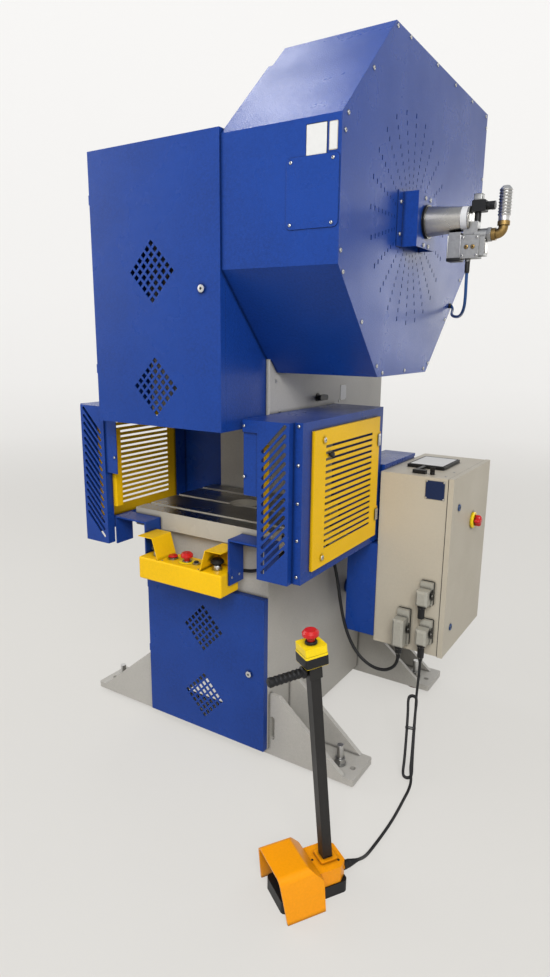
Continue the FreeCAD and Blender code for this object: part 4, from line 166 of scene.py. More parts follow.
class Graph(NodeTree):
    """A material's node tree."""

    def __init__(self, name: str) -> None:
        """Start an empty tree in a new material of that name.

        Args:
            name: the material's name.
        """
        self.material = bpy.data.materials.new(name)
        self.material.use_nodes = True
        super().__init__(self.material.node_tree)
        self.tree.nodes.clear()

    def place(self, stretch: Point) -> bpy.types.NodeSocket:
        """Object coordinates, scaled along each axis.

        Args:
            stretch: scale along X, Y and Z.

        Returns:
            The output with the coordinates.
        """
        coordinate = self.add("ShaderNodeTexCoord").outputs["Object"]
        mapping = self.add("ShaderNodeMapping", None, {"Vector": coordinate, "Scale": stretch})
        return mapping.outputs["Vector"]

    def noise(self, relief: Relief) -> bpy.types.NodeSocket:
        """Noise on object coordinates, at a relief's scales.

        Args:
            relief: its scales and detail.

        Returns:
            The noise's output.
        """
        return self.add("ShaderNodeTexNoise", None, {
            "Vector": self.place(relief.stretch), "Scale": 1.0, "Detail": relief.detail,
        }).outputs["Fac"]

    def remap(self, value: bpy.types.NodeSocket, given: Pair, wanted: Pair,
              kind: str = "LINEAR") -> bpy.types.NodeSocket:
        """Map a value from one range onto another.

        Args:
            value: the output to map.
            given: the range that it has.
            wanted: the range that it gets.
            kind: how it runs between the ends.

        Returns:
            The mapped output.
        """
        return self.add("ShaderNodeMapRange", {"interpolation_type": kind}, {
            "Value": value, "From Min": given[0], "From Max": given[1],
            "To Min": wanted[0], "To Max": wanted[1],
        }).outputs["Result"]

    def blend(self, share: bpy.types.NodeSocket,
              *ends: Point | bpy.types.NodeSocket) -> bpy.types.NodeSocket:
        """Mix two colours.

        Args:
            share: how much of the second colour.
            ends: both colours, each linear RGB or an output.

        Returns:
            The mixed colour's output.
        """
        first, second = (end if isinstance(end, bpy.types.NodeSocket) else (*end, 1.0)
                         for end in ends)
        node = self.add("ShaderNodeMix", {"data_type": "RGBA"}, {0: share, 6: first, 7: second})
        return node.outputs[2]

    def paint_corner_shade(self, color: bpy.types.NodeSocket) -> bpy.types.NodeSocket:
        """Darken a colour in corners, slots and seams with painted shade, from ambient occlusion.

        Args:
            color: the colour in the open.

        Returns:
            The darkened colour's output.
        """
        open_share = self.add("ShaderNodeAmbientOcclusion", {"samples": CORNER_SHADE_SAMPLES},
                              {"Distance": CORNER_SHADE_REACH}).outputs["AO"]
        kept = self.math("POWER", open_share, CORNER_SHADE_POWER)
        return self.add("ShaderNodeVectorMath", {"operation": "SCALE"},
                        {0: color, "Scale": kept}).outputs[0]

    def close(self, shader: bpy.types.Node) -> bpy.types.Material:
        """Link a shader to the output and return the material."""
        self.add("ShaderNodeOutputMaterial", None, {"Surface": shader.outputs[0]})
        return self.material


@dataclass(frozen=True)
class Finish:
    """A surface finish of one material slot.

    Args:
        color: linear RGB.
        shade: how much darker the cloudy variation gets, as a share.
        roughness: lowest and highest roughness over the surface.
        grain: the fine relief.
        relief: multiplier of the grain's depth.
        gloss: strength of the surface reflection, 0.5 for an ordinary one.
        metallic: 1 for a bare metal.
        flank: linear RGB of the painted sides of a piece whose top is bare metal.
    """

    color: Point
    shade: float
    roughness: Pair
    grain: Grain = Grain.MOULDED
    relief: float = 1.0
    gloss: float = 0.28
    metallic: float = 0.0
    flank: Point | None = None

    def material(self, name: str) -> bpy.types.Material:
        """Build the finish's material under a name.

        Args:
            name: the material's name.

        Returns:
            The new material.
        """
        graph = Graph(name)
        relief = RELIEFS[self.grain]
        cloudy = graph.noise(CLOUDS)
        dark = tuple(channel * (1.0 - self.shade) for channel in self.color)
        speckled = graph.math("MULTIPLY", cloudy, graph.noise(SPECKS))
        tint = graph.remap(speckled, TINT_RANGE, UNIT_RANGE)
        soft = graph.add("ShaderNodeBevel", {"samples": EDGE_SAMPLES}, {"Radius": EDGE_RADIUS})
        bump = graph.add("ShaderNodeBump", None, {
            "Strength": BUMP_STRENGTH, "Distance": relief.height * self.relief,
            "Height": graph.noise(relief), "Normal": soft.outputs["Normal"],
        })
        color, metallic = graph.blend(tint, self.color, dark), self.metallic
        if self.flank:
            normal = graph.add("ShaderNodeNewGeometry").outputs["Normal"]
            upward = graph.add("ShaderNodeSeparateXYZ", None, {0: normal}).outputs["Z"]
            metallic = graph.math("GREATER_THAN", upward, BARE_SLOPE)
            color = graph.blend(metallic, self.flank, color)
        return graph.close(graph.add("ShaderNodeBsdfPrincipled", None, {
            # the base colour gets painted shade in corners, slots and seams
            "Base Color": graph.paint_corner_shade(color), "Metallic": metallic,
            "Normal": bump.outputs["Normal"],
            "Roughness": graph.remap(cloudy, NOISE_RANGE, self.roughness),
            "Specular IOR Level": self.gloss,
        }))


FINISHES = {
    "blue_paint": Finish((0.009, 0.050, 0.280), 0.24, (0.24, 0.36), Grain.ORANGE_PEEL, 1.6, 0.22),
    "frame_grey": Finish((0.475, 0.455, 0.415), 0.12, (0.36, 0.50), Grain.ORANGE_PEEL, 0.8, 0.34),
    "cabinet_grey": Finish((0.50, 0.452, 0.362), 0.06, (0.38, 0.50), Grain.ORANGE_PEEL),
    "yellow_paint": Finish((0.92, 0.54, 0.003), 0.10, (0.32, 0.44), Grain.ORANGE_PEEL, 0.8, 0.22),
    "pedal_orange": Finish((0.93, 0.335, 0.002), 0.10, (0.28, 0.38), Grain.ORANGE_PEEL, 0.7, 0.25),
    "machined_steel": Finish((0.40, 0.385, 0.36), 0.30, (0.22, 0.40), Grain.BRUSHED_X, metallic=1.0,
                             flank=(0.46, 0.43, 0.36)),
    "dark_steel": Finish((0.018, 0.017, 0.016), 0.30, (0.40, 0.54), Grain.BRUSHED_Y),
    "zinc_steel": Finish((0.68, 0.675, 0.66), 0.20, (0.26, 0.42), metallic=1.0),
    "cast_iron": Finish((0.23, 0.24, 0.25), 0.30, (0.48, 0.66), Grain.CAST, metallic=0.3),
    "stainless": Finish((0.50, 0.485, 0.455), 0.16, (0.24, 0.36), Grain.TURNED, metallic=1.0),
    "cast_alloy": Finish((0.42, 0.42, 0.41), 0.26, (0.38, 0.54), Grain.CAST, 0.4, metallic=1.0),
    "brass": Finish((0.36, 0.235, 0.085), 0.34, (0.34, 0.52), Grain.CAST, 0.3, metallic=1.0),
    "black_plastic": Finish((0.011, 0.011, 0.012), 0.20, (0.38, 0.50)),
    "grey_plastic": Finish((0.40, 0.385, 0.33), 0.14, (0.42, 0.54), relief=1.4),
    "white_plate": Finish((0.66, 0.655, 0.64), 0.05, (0.30, 0.42), relief=0.6),
    "navy_plate": Finish((0.006, 0.018, 0.070), 0.20, (0.30, 0.42), relief=0.6),
    "yellow_plastic": Finish((0.92, 0.66, 0.006), 0.08, (0.26, 0.36), relief=0.6),
    "red_plastic": Finish((0.56, 0.012, 0.012), 0.12, (0.24, 0.34), relief=0.5, gloss=0.35),
    "blue_plastic": Finish((0.008, 0.055, 0.19), 0.10, (0.24, 0.34), relief=0.4, gloss=0.4),
    "red_rubber": Finish((0.30, 0.075, 0.05), 0.28, (0.60, 0.76), Grain.CAST, 0.4),
    "black_rubber": Finish((0.010, 0.010, 0.011), 0.20, (0.44, 0.58), relief=1.2),
}


class Paints:
    """Every material of the scene, each made once."""

    def __init__(self) -> None:
        """Make the material of every finish."""
        self.made = {name: finish.material(name) for name, finish in FINISHES.items()}

    def get(self, slot: str) -> bpy.types.Material:
        """The material of a slot."""
        return self.made[slot]

    def dress_nodes(self) -> None:
        """Give each node of the frame the material of its slot in the record."""
        for row in frame["record"]["subparts"]:
            mesh = frame["nodes"][row["node"]].data
            mesh.materials.clear()
            mesh.materials.append(self.get(row["material_slot"]))


# ---------------------------------------------------------------- placing and making
def show(name: str, data: bpy.types.ID) -> bpy.types.Object:
    """Make an object of some data and link it to the scene.

    Args:
        name: the object's name.
        data: its mesh, curve, lamp or camera.

    Returns:
        The new object.
    """
    thing = bpy.data.objects.new(name, data)
    bpy.context.scene.collection.objects.link(thing)
    return thing


def around(count: int) -> list[float]:
    """Angles of evenly spaced points round a circle, in radians."""
    return [2 * math.pi * index / count for index in range(count)]


def bridge(shape: bmesh.types.BMesh, lower: list, upper: list) -> list:
    """Join two rings of vertices with faces.

    Args:
        shape: the mesh that holds them.
        lower: vertices of one ring.
        upper: as many of the other.

    Returns:
        The new faces.
    """
    last = len(lower) - 1
    turns = [(index, index + 1 if index < last else 0) for index in range(len(lower))]
    return [shape.faces.new((lower[at], lower[after], upper[after], upper[at]))
            for at, after in turns]


class Setting:
    """Where the press's own axes lie in the frame."""

    def __init__(self) -> None:
        """Read the centre plane from the bolster plate and the crank axis from the flywheel."""
        low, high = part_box("bolster_plate")
        wheel_low, wheel_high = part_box("flywheel")
        self.origin = Vector(((low.x + high.x) / 2, (wheel_low.y + wheel_high.y) / 2, 0.0))

    def spot(self, x: float, y: float, z: float) -> Vector:
        """A place on the press's axes, in millimetres, as a point of the frame in metres."""
        return self.origin + Vector((x, y, z)) * MILLI


class Side(Enum):
    """Which way a surface faces: its right, its up and the way out of it."""

    FRONT = ((1, 0, 0), (0, 0, 1), (0, -1, 0))
    RIGHT = ((0, 1, 0), (0, 0, 1), (1, 0, 0))

    def turn(self) -> Matrix:
        """Rotation from a piece's own axes to the frame's."""
        return Matrix(self.value).transposed()

    def spot(self, setting: Setting, across: float, upward: float, level: float) -> Vector:
        """A place on a surface that faces this way.

        Args:
            setting: where the press's axes lie.
            across: the press's coordinate along the surface's right.
            upward: the one along its up.
            level: the one that the surface lies at.

        Returns:
            The point in the frame.
        """
        if self is Side.FRONT:
            return setting.spot(across, level, upward)
        return setting.spot(level, across, upward)


class Slice(NamedTuple):
    """One level of a lofted piece, in millimetres."""

    height: float
    half_x: float
    half_y: float
    corner: float


class Workshop:
    """Makes pieces, gives them their material and hands them to the frame."""

    def __init__(self, paints: Paints, setting: Setting) -> None:
        """Keep the materials and the setting.

        Args:
            paints: the materials.
            setting: where the press's axes lie.
        """
        self.paints = paints
        self.setting = setting
        self.count = 0

    def deliver(self, piece: bpy.types.Object, body: str, slot: str) -> bpy.types.Object:
        """Let a finished piece ride on its body.

        Args:
            piece: the object, in place.
            body: the body that it moves with.
            slot: the record's material slot; not used.

        Returns:
            The same object.
        """
        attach(piece, body)
        self.count += 1
        LOG.info("%s rides on %s", piece.name, body)
        return piece

    def from_mesh(self, name: str, shape: bmesh.types.BMesh, body: str,
                  slot: str) -> bpy.types.Object:
        """Turn a bmesh into a delivered piece.

        Args:
            name: the piece's name.
            shape: the mesh, which is freed.
            body: the body that it moves with.
            slot: the record's material slot.

        Returns:
            The new object.
        """
        bmesh.ops.remove_doubles(shape, verts=shape.verts, dist=WELD_REACH)
        bmesh.ops.recalc_face_normals(shape, faces=shape.faces)
        for face in shape.faces:
            face.smooth = True
        for edge in shape.edges:
            edge.smooth = len(edge.link_faces) == 2 and edge.calc_face_angle(math.pi) < SMOOTH_LIMIT
        mesh = bpy.data.meshes.new(name)
        shape.to_mesh(mesh)
        shape.free()
        mesh.materials.append(self.paints.get(slot))
        return self.deliver(show(name, mesh), body, slot)

    def skin(self, shape: bmesh.types.BMesh, rings: list, closed: bool = False) -> None:
        """Join rings of vertices with faces.

        Args:
            shape: the mesh that holds them.
            rings: lists of vertices, all of one length.
            closed: True joins the last ring to the first, False caps both ends.
        """
        for lower, upper in zip(rings, rings[1:]):
            bridge(shape, lower, upper)
        if closed:
            bridge(shape, rings[-1], rings[0])
        else:
            shape.faces.new(list(reversed(rings[0])))
            shape.faces.new(rings[-1])

    def turned(self, name: str, profile: Sequence[Pair], base: Vector, axis: Vector | Point,
               body: str, slot: str, sides: int = 32, closed: bool = False,
               lobes: tuple[int, float] = (0, 0.0)) -> bpy.types.Object:
        """A turned piece.

        Args:
            name: the piece's name.
            profile: (radius, height) pairs in millimetres, from one end of the axis to the other.
            base: where height is zero.
            axis: direction in which the height grows.
            body: the body that it moves with.
            slot: the record's material slot.
            sides: number of flats round it.
            closed: True for a ring, whose profile comes back to its start.
            lobes: how many lobes it has, and how deep they are as a share of the radius.

        Returns:
            The new object.
        """
        shape = bmesh.new()
        turn = Vector(axis).to_track_quat("Z", "Y")
        rings = []
        for radius, height in profile:
            ring = []
            for angle in around(sides):
                reach = radius * (1.0 + lobes[1] * math.cos(lobes[0] * angle))
                local = Vector((reach * math.cos(angle), reach * math.sin(angle), height)) * MILLI
                ring.append(shape.verts.new(base + turn @ local))
            rings.append(ring)
        self.skin(shape, rings, closed)
        return self.from_mesh(name, shape, body, slot)

    def loft(self, name: str, slices: Sequence[tuple[float, float, float, float]], base: Vector,
             turn: Matrix, body: str, slot: str, closed: bool = False) -> bpy.types.Object:
        """A box-like piece with round corners, lofted through slices.

        Args:
            name: the piece's name.
            slices: its levels, each the four numbers of a Slice.
            base: the middle of level zero.
            turn: rotation from the piece's own axes to the frame's.
            body: the body that it moves with.
            slot: the record's material slot.
            closed: True for a band, whose last slice joins its first.

        Returns:
            The new object.
        """
        shape = bmesh.new()
        rings = []
        for level in (Slice(*numbers) for numbers in slices):
            ring = []
            for quarter, (sign_x, sign_y) in enumerate(((1, 1), (-1, 1), (-1, -1), (1, -1))):
                for step in range(CORNER_STEPS):
                    angle = math.pi / 2 * (quarter + step / (CORNER_STEPS - 1))
                    local = Vector((
                        sign_x * (level.half_x - level.corner) + level.corner * math.cos(angle),
                        sign_y * (level.half_y - level.corner) + level.corner * math.sin(angle),
                        level.height,
                    ))
                    ring.append(shape.verts.new(base + turn @ (local * MILLI)))
            rings.append(ring)
        self.skin(shape, rings, closed)
        return self.from_mesh(name, shape, body, slot)

    def band(self, name: str, half: Pair, corner: float, wide: float, thick: float,
             base: Vector, turn: Matrix, body: str, slot: str) -> bpy.types.Object:
        """A flat band round a box-like form, such as a seal or a cable tie.

        Args:
            name: the piece's name.
            half: half of its outer size along its own X and Y, in millimetres.
            corner: radius of its outer corners.
            wide: how far it runs along its own Z.
            thick: its wall.
            base: its middle.
            turn: rotation from its own axes to the frame's.
            body: the body that it moves with.
            slot: the record's material slot.

        Returns:
            The new object.
        """
        half_x, half_y = half
        low, high, edge = -wide / 2, wide / 2, BAND_EDGE
        inner = max(corner - thick, edge)
        slices = (
            (low, half_x - edge, half_y - edge, corner), (low + edge, half_x, half_y, corner),
            (high - edge, half_x, half_y, corner), (high, half_x - edge, half_y - edge, corner),
            (high, half_x - thick, half_y - thick, inner),
            (low, half_x - thick, half_y - thick, inner),
        )
        return self.loft(name, slices, base, turn, body, slot, True)

    def blocks(self, name: str, corners: Sequence[tuple[Vector, Vector]], body: str, slot: str,
               bevel: float = 1.0) -> bpy.types.Object:
        """Blocks with rounded edges, as one piece.

        Args:
            name: the piece's name.
            corners: the lowest and highest corner of each block, in the frame.
            body: the body that it moves with.
            slot: the record's material slot.
            bevel: edge radius in millimetres.

        Returns:
            The new object.
        """
        shape = bmesh.new()
        for low, high in corners:
            size = high - low
            verts = bmesh.ops.create_cube(shape, size=1.0)["verts"]
            bmesh.ops.scale(shape, vec=size, verts=verts)
            bmesh.ops.translate(shape, vec=(low + high) / 2, verts=verts)
            edges = list({edge for vert in verts for edge in vert.link_edges})
            width = min(bevel * MILLI, BEVEL_LIMIT * min(size))
            bmesh.ops.bevel(shape, geom=edges, offset=width, segments=BEVEL_STEPS, profile=0.5,
                            affect="EDGES")
        return self.from_mesh(name, shape, body, slot)


class Head(Enum):
    """Screw heads, as sides of the head and sides of its recess."""

    SOCKET = (20, 6)
    QUARTER_TURN = (24, 4)
    PLUG = (28, 5)


class ScrewSetter:
    """Puts rows of screws in place with one node tree.

    A head is two cones, each given by its lower radius, upper radius and height as shares of
    the whole head's, with a flat recess on top.
    """

    LOWER = (1.0, 0.94, 0.55)
    UPPER = (0.94, 0.62, 0.45)
    RECESS = (0.42, 0.06)
    INPUTS = (
        ("Places", "Geometry"), ("Radius", "Float"), ("Height", "Float"), ("Sides", "Int"),
        ("Recess Sides", "Int"), ("Metal", "Material"), ("Shadow", "Material"),
    )

    def __init__(self, workshop: Workshop) -> None:
        """Keep the workshop and build the tree."""
        self.workshop = workshop
        self.tree = self.build_tree()

    def build_tree(self) -> bpy.types.NodeTree:
        """Build the tree that puts a head on each point.

        Returns:
            The node tree.
        """
        tree = bpy.data.node_groups.new("screw_heads", "GeometryNodeTree")
        for name, kind in self.INPUTS:
            tree.interface.new_socket(name, in_out="INPUT", socket_type="NodeSocket" + kind)
        tree.interface.new_socket("Heads", in_out="OUTPUT", socket_type="NodeSocketGeometry")
        graph = NodeTree(tree)
        given = graph.add("NodeGroupInput").outputs

        def scaled(name: str, factor: float) -> bpy.types.NodeSocket:
            """An input times a factor."""
            return graph.math("MULTIPLY", given[name], factor)

        def cone(bottom: float, top: float, share: float) -> bpy.types.NodeSocket:
            """A ring of the head, with radii and height as shares.

            Args:
                bottom: its lower radius.
                top: its upper radius.
                share: its height.

            Returns:
                The cone's mesh.
            """
            return graph.add("GeometryNodeMeshCone", None, {
                "Vertices": given["Sides"], "Radius Bottom": scaled("Radius", bottom),
                "Radius Top": scaled("Radius", top), "Depth": scaled("Height", share),
            }).outputs["Mesh"]

        def raised(source: bpy.types.NodeSocket, share: float) -> bpy.types.NodeSocket:
            """A geometry lifted by a share of the head's height.

            Args:
                source: the geometry.
                share: how far up it goes.

            Returns:
                The lifted geometry.
            """
            lift = graph.add("ShaderNodeCombineXYZ", None, {"Z": scaled("Height", share)})
            return graph.add("GeometryNodeTransform", None, {
                "Geometry": source, "Translation": lift.outputs[0],
            }).outputs[0]

        recess = graph.add("GeometryNodeMeshCylinder", None, {
            "Vertices": given["Recess Sides"], "Radius": scaled("Radius", self.RECESS[0]),
            "Depth": scaled("Height", self.RECESS[1]),
        })
        mark = graph.add("GeometryNodeStoreNamedAttribute", {
            "data_type": "BOOLEAN", "domain": "FACE",
        }, {"Name": "recess", "Value": True, "Geometry": raised(recess.outputs["Mesh"], 1.0)})
        join = graph.add("GeometryNodeJoinGeometry")
        upper = raised(cone(*self.UPPER), self.LOWER[2])
        for source in (mark.outputs[0], upper, cone(*self.LOWER)):
            tree.links.new(source, join.inputs[0])
        points = graph.add("GeometryNodeMeshToPoints", None, {"Mesh": given["Places"]})
        facing = graph.add("GeometryNodeInputNamedAttribute", {"data_type": "FLOAT_VECTOR"},
                           {"Name": "facing"})
        align = graph.add("FunctionNodeAlignRotationToVector", {"axis": "Z"},
                          {"Vector": facing.outputs["Attribute"]})
        heads = graph.add("GeometryNodeInstanceOnPoints", None, {
            "Points": points.outputs[0], "Instance": join.outputs[0],
            "Rotation": align.outputs["Rotation"],
        })
        realize = graph.add("GeometryNodeRealizeInstances", None, {0: heads.outputs[0]})
        metal = graph.add("GeometryNodeSetMaterial", None, {
            "Geometry": realize.outputs[0], "Material": given["Metal"],
        })
        picked = graph.add("GeometryNodeInputNamedAttribute", {"data_type": "BOOLEAN"},
                           {"Name": "recess"})
        shadow = graph.add("GeometryNodeSetMaterial", None, {
            "Geometry": metal.outputs[0], "Selection": picked.outputs["Attribute"],
            "Material": given["Shadow"],
        })
        graph.add("NodeGroupOutput", None, {0: shadow.outputs[0]})
        return tree

    def put(self, name: str, places: Sequence[Vector], facing: Point, radius: float, height: float,
            body: str, head: Head = Head.SOCKET, slot: str = "zinc_steel") -> bpy.types.Object:
        """Set a row of screws.

        Args:
            name: the piece's name.
            places: where each head sits, in the frame.
            facing: the direction that the heads face.
            radius: head radius in millimetres.
            height: head height in millimetres.
            body: the body that they move with.
            head: the kind of head.
            slot: the record's material slot.

        Returns:
            One mesh object with all the heads.
        """
        seeds = bpy.data.meshes.new(name + "_seeds")
        seeds.from_pydata([tuple(place) for place in places], [], [])
        attribute = seeds.attributes.new("facing", "FLOAT_VECTOR", "POINT")
        for item in attribute.data:
            item.vector = facing
        carrier = show(name + "_seeds", seeds)
        modifier = carrier.modifiers.new("heads", "NODES")
        modifier.node_group = self.tree
        paints = self.workshop.paints
        sides, recess_sides = head.value
        values = {
            "Radius": radius * MILLI, "Height": height * MILLI, "Sides": sides,
            "Recess Sides": recess_sides, "Metal": paints.get(slot),
            "Shadow": paints.get("black_plastic"),
        }
        for item in self.tree.interface.items_tree:
            if item.in_out == "INPUT" and item.name in values:
                modifier[item.identifier] = values[item.name]
        graph = bpy.context.evaluated_depsgraph_get()
        mesh = bpy.data.meshes.new_from_object(carrier.evaluated_get(graph))
        mesh.name = name
        bpy.data.objects.remove(carrier)
        return self.workshop.deliver(show(name, mesh), body, slot)


# ---------------------------------------------------------------- studio
@dataclass(frozen=True)
class Lamp:
    """A soft lamp.

    Args:
        name: the lamp's name.
        place: where it hangs, in metres.
        aim: what it points at.
        size: edge of the lamp, in metres.
        power: watts.
    """

    name: str
    place: Point
    aim: Point
    size: float
    power: float


@dataclass(frozen=True)
class Studio:
    """Floor, backdrop, lamps and the camera at the photograph's view.

    Args:
        eye: the camera's place in the frame, in metres.
        right: the picture's right, as a direction.
        up: the picture's up.
        sensor: the camera's sensor, in millimetres.
        lens: its focal length, in millimetres.
        reach: how far it sees, in metres.
        floor_color: colour that the floor shows.
        wall_color: colour that it turns to far away.
        floor_shade: how much light the floor gives back to the object, as a share of its colour.
        fade: distance from the middle where the floor starts to turn, and where it has turned.
        glow: how much of what the camera sees is the plain colour, near and far.
        sky: colour and strength of the light from all round.
        sweep: radius and height of the floor's rings, in metres.
        sweep_sides: sides of each ring.
        lamps: the soft lamps.
    """

    eye: Point = (1.323804, -2.084242, 1.580803)
    right: Point = (0.84463914, 0.53523423, 0.01044348)
    up: Point = (-0.12918783, 0.18485865, 0.97423703)
    sensor: float = 36.0
    lens: float = 24.297
    reach: float = 60.0
    floor_color: Point = (0.845, 0.825, 0.785)
    wall_color: Point = (0.97, 0.96, 0.945)
    floor_shade: float = 0.62
    fade: Pair = (3.0, 13.5)
    glow: Pair = (0.62, 0.94)
    sky: tuple[Point, float] = ((0.92, 0.95, 1.0), 0.55)
    sweep: tuple[Pair, ...] = (
        (0.01, 0.0), (6.0, 0.0), (8.0, 0.12), (9.6, 0.8), (10.4, 2.2), (10.6, 6.0), (10.6, 9.0),
    )
    sweep_sides: int = 64
    lamps: tuple[Lamp, ...] = (
        Lamp("key_lamp", (2.7, -4.0, 4.3), (0.0, 0.0, 1.2), 2.8, 262.0),
        Lamp("fill_lamp", (-4.4, -1.8, 2.8), (0.0, 0.0, 1.2), 3.0, 74.0),
        Lamp("rear_lamp", (2.3, 4.8, 2.1), (0.4, 0.3, 1.7), 1.6, 24.0),
        Lamp("top_lamp", (-1.9, 0.9, 5.5), (0.0, 0.0, 1.2), 0.9, 24.0),
    )

    def camera(self) -> None:
        """Set up the camera."""
        data = bpy.data.cameras.new("photo_view")
        data.sensor_width = data.sensor_height = self.sensor
        data.sensor_fit = "AUTO"
        data.lens = self.lens
        data.clip_end = self.reach
        camera = show("photo_view", data)
        right, up = Vector(self.right), Vector(self.up)
        turn = Matrix((right, up, right.cross(up))).transposed().to_4x4()
        camera.matrix_world = Matrix.Translation(Vector(self.eye)) @ turn
        bpy.context.scene.camera = camera

    def floor_material(self) -> bpy.types.Material:
        """A floor that shows its own colour to the camera and light and shade to the object.

        Returns:
            The floor's material.
        """
        graph = Graph("floor_sweep")
        ray = graph.add("ShaderNodeLightPath").outputs
        seen = graph.math("MAXIMUM", ray["Is Camera Ray"], ray["Is Glossy Ray"])
        away = graph.add("ShaderNodeVectorMath", {"operation": "LENGTH"},
                         {0: graph.place((1.0, 1.0, 1.0))})
        far = graph.remap(away.outputs["Value"], self.fade, UNIT_RANGE, "SMOOTHSTEP")
        color = graph.blend(far, self.floor_color, self.wall_color)
        share = graph.math("MULTIPLY", seen, graph.remap(far, UNIT_RANGE, self.glow))
        shaded = tuple(self.floor_shade * part for part in self.floor_color)
        matt = graph.add("ShaderNodeBsdfDiffuse", None, {
            "Color": graph.blend(far, shaded, self.wall_color),
        })
        plain = graph.add("ShaderNodeEmission", None, {"Color": color, "Strength": 1.0})
        return graph.close(graph.add("ShaderNodeMixShader", None, {
            0: share, 1: matt.outputs[0], 2: plain.outputs[0],
        }))

    def backdrop(self) -> None:
        """Make a pale sweep: a floor that curves up into a wall all round."""
        shape = bmesh.new()
        rings = [
            [shape.verts.new((radius * math.cos(angle), radius * math.sin(angle), height))
             for angle in around(self.sweep_sides)]
            for radius, height in self.sweep
        ]
        for lower, upper in zip(rings, rings[1:]):
            for face in bridge(shape, lower, upper):
                face.smooth = True
        shape.faces.new(rings[0])
        bmesh.ops.recalc_face_normals(shape, faces=shape.faces)
        mesh = bpy.data.meshes.new("floor_sweep")
        shape.to_mesh(mesh)
        shape.free()
        mesh.materials.append(self.floor_material())
        show("floor_sweep", mesh)

    def light(self) -> None:
        """Hang the lamps and set the world."""
        for lamp in self.lamps:
            data = bpy.data.lights.new(lamp.name, "AREA")
            data.size = lamp.size
            data.energy = lamp.power
            thing = show(lamp.name, data)
            thing.location = lamp.place
            thing.rotation_mode = "QUATERNION"
            beam = Vector(lamp.aim) - Vector(lamp.place)
            thing.rotation_quaternion = beam.to_track_quat("-Z", "Y")
        world = bpy.data.worlds.new("pale_room")
        bpy.context.scene.world = world
        world.use_nodes = True
        back = world.node_tree.nodes["Background"]
        color, strength = self.sky
        back.inputs["Color"].default_value = (*color, 1.0)
        back.inputs["Strength"].default_value = strength

    def build(self) -> None:
        """Build the studio."""
        self.camera()
        self.backdrop()
        self.light()
        bpy.context.scene.view_settings.view_transform = "Standard"


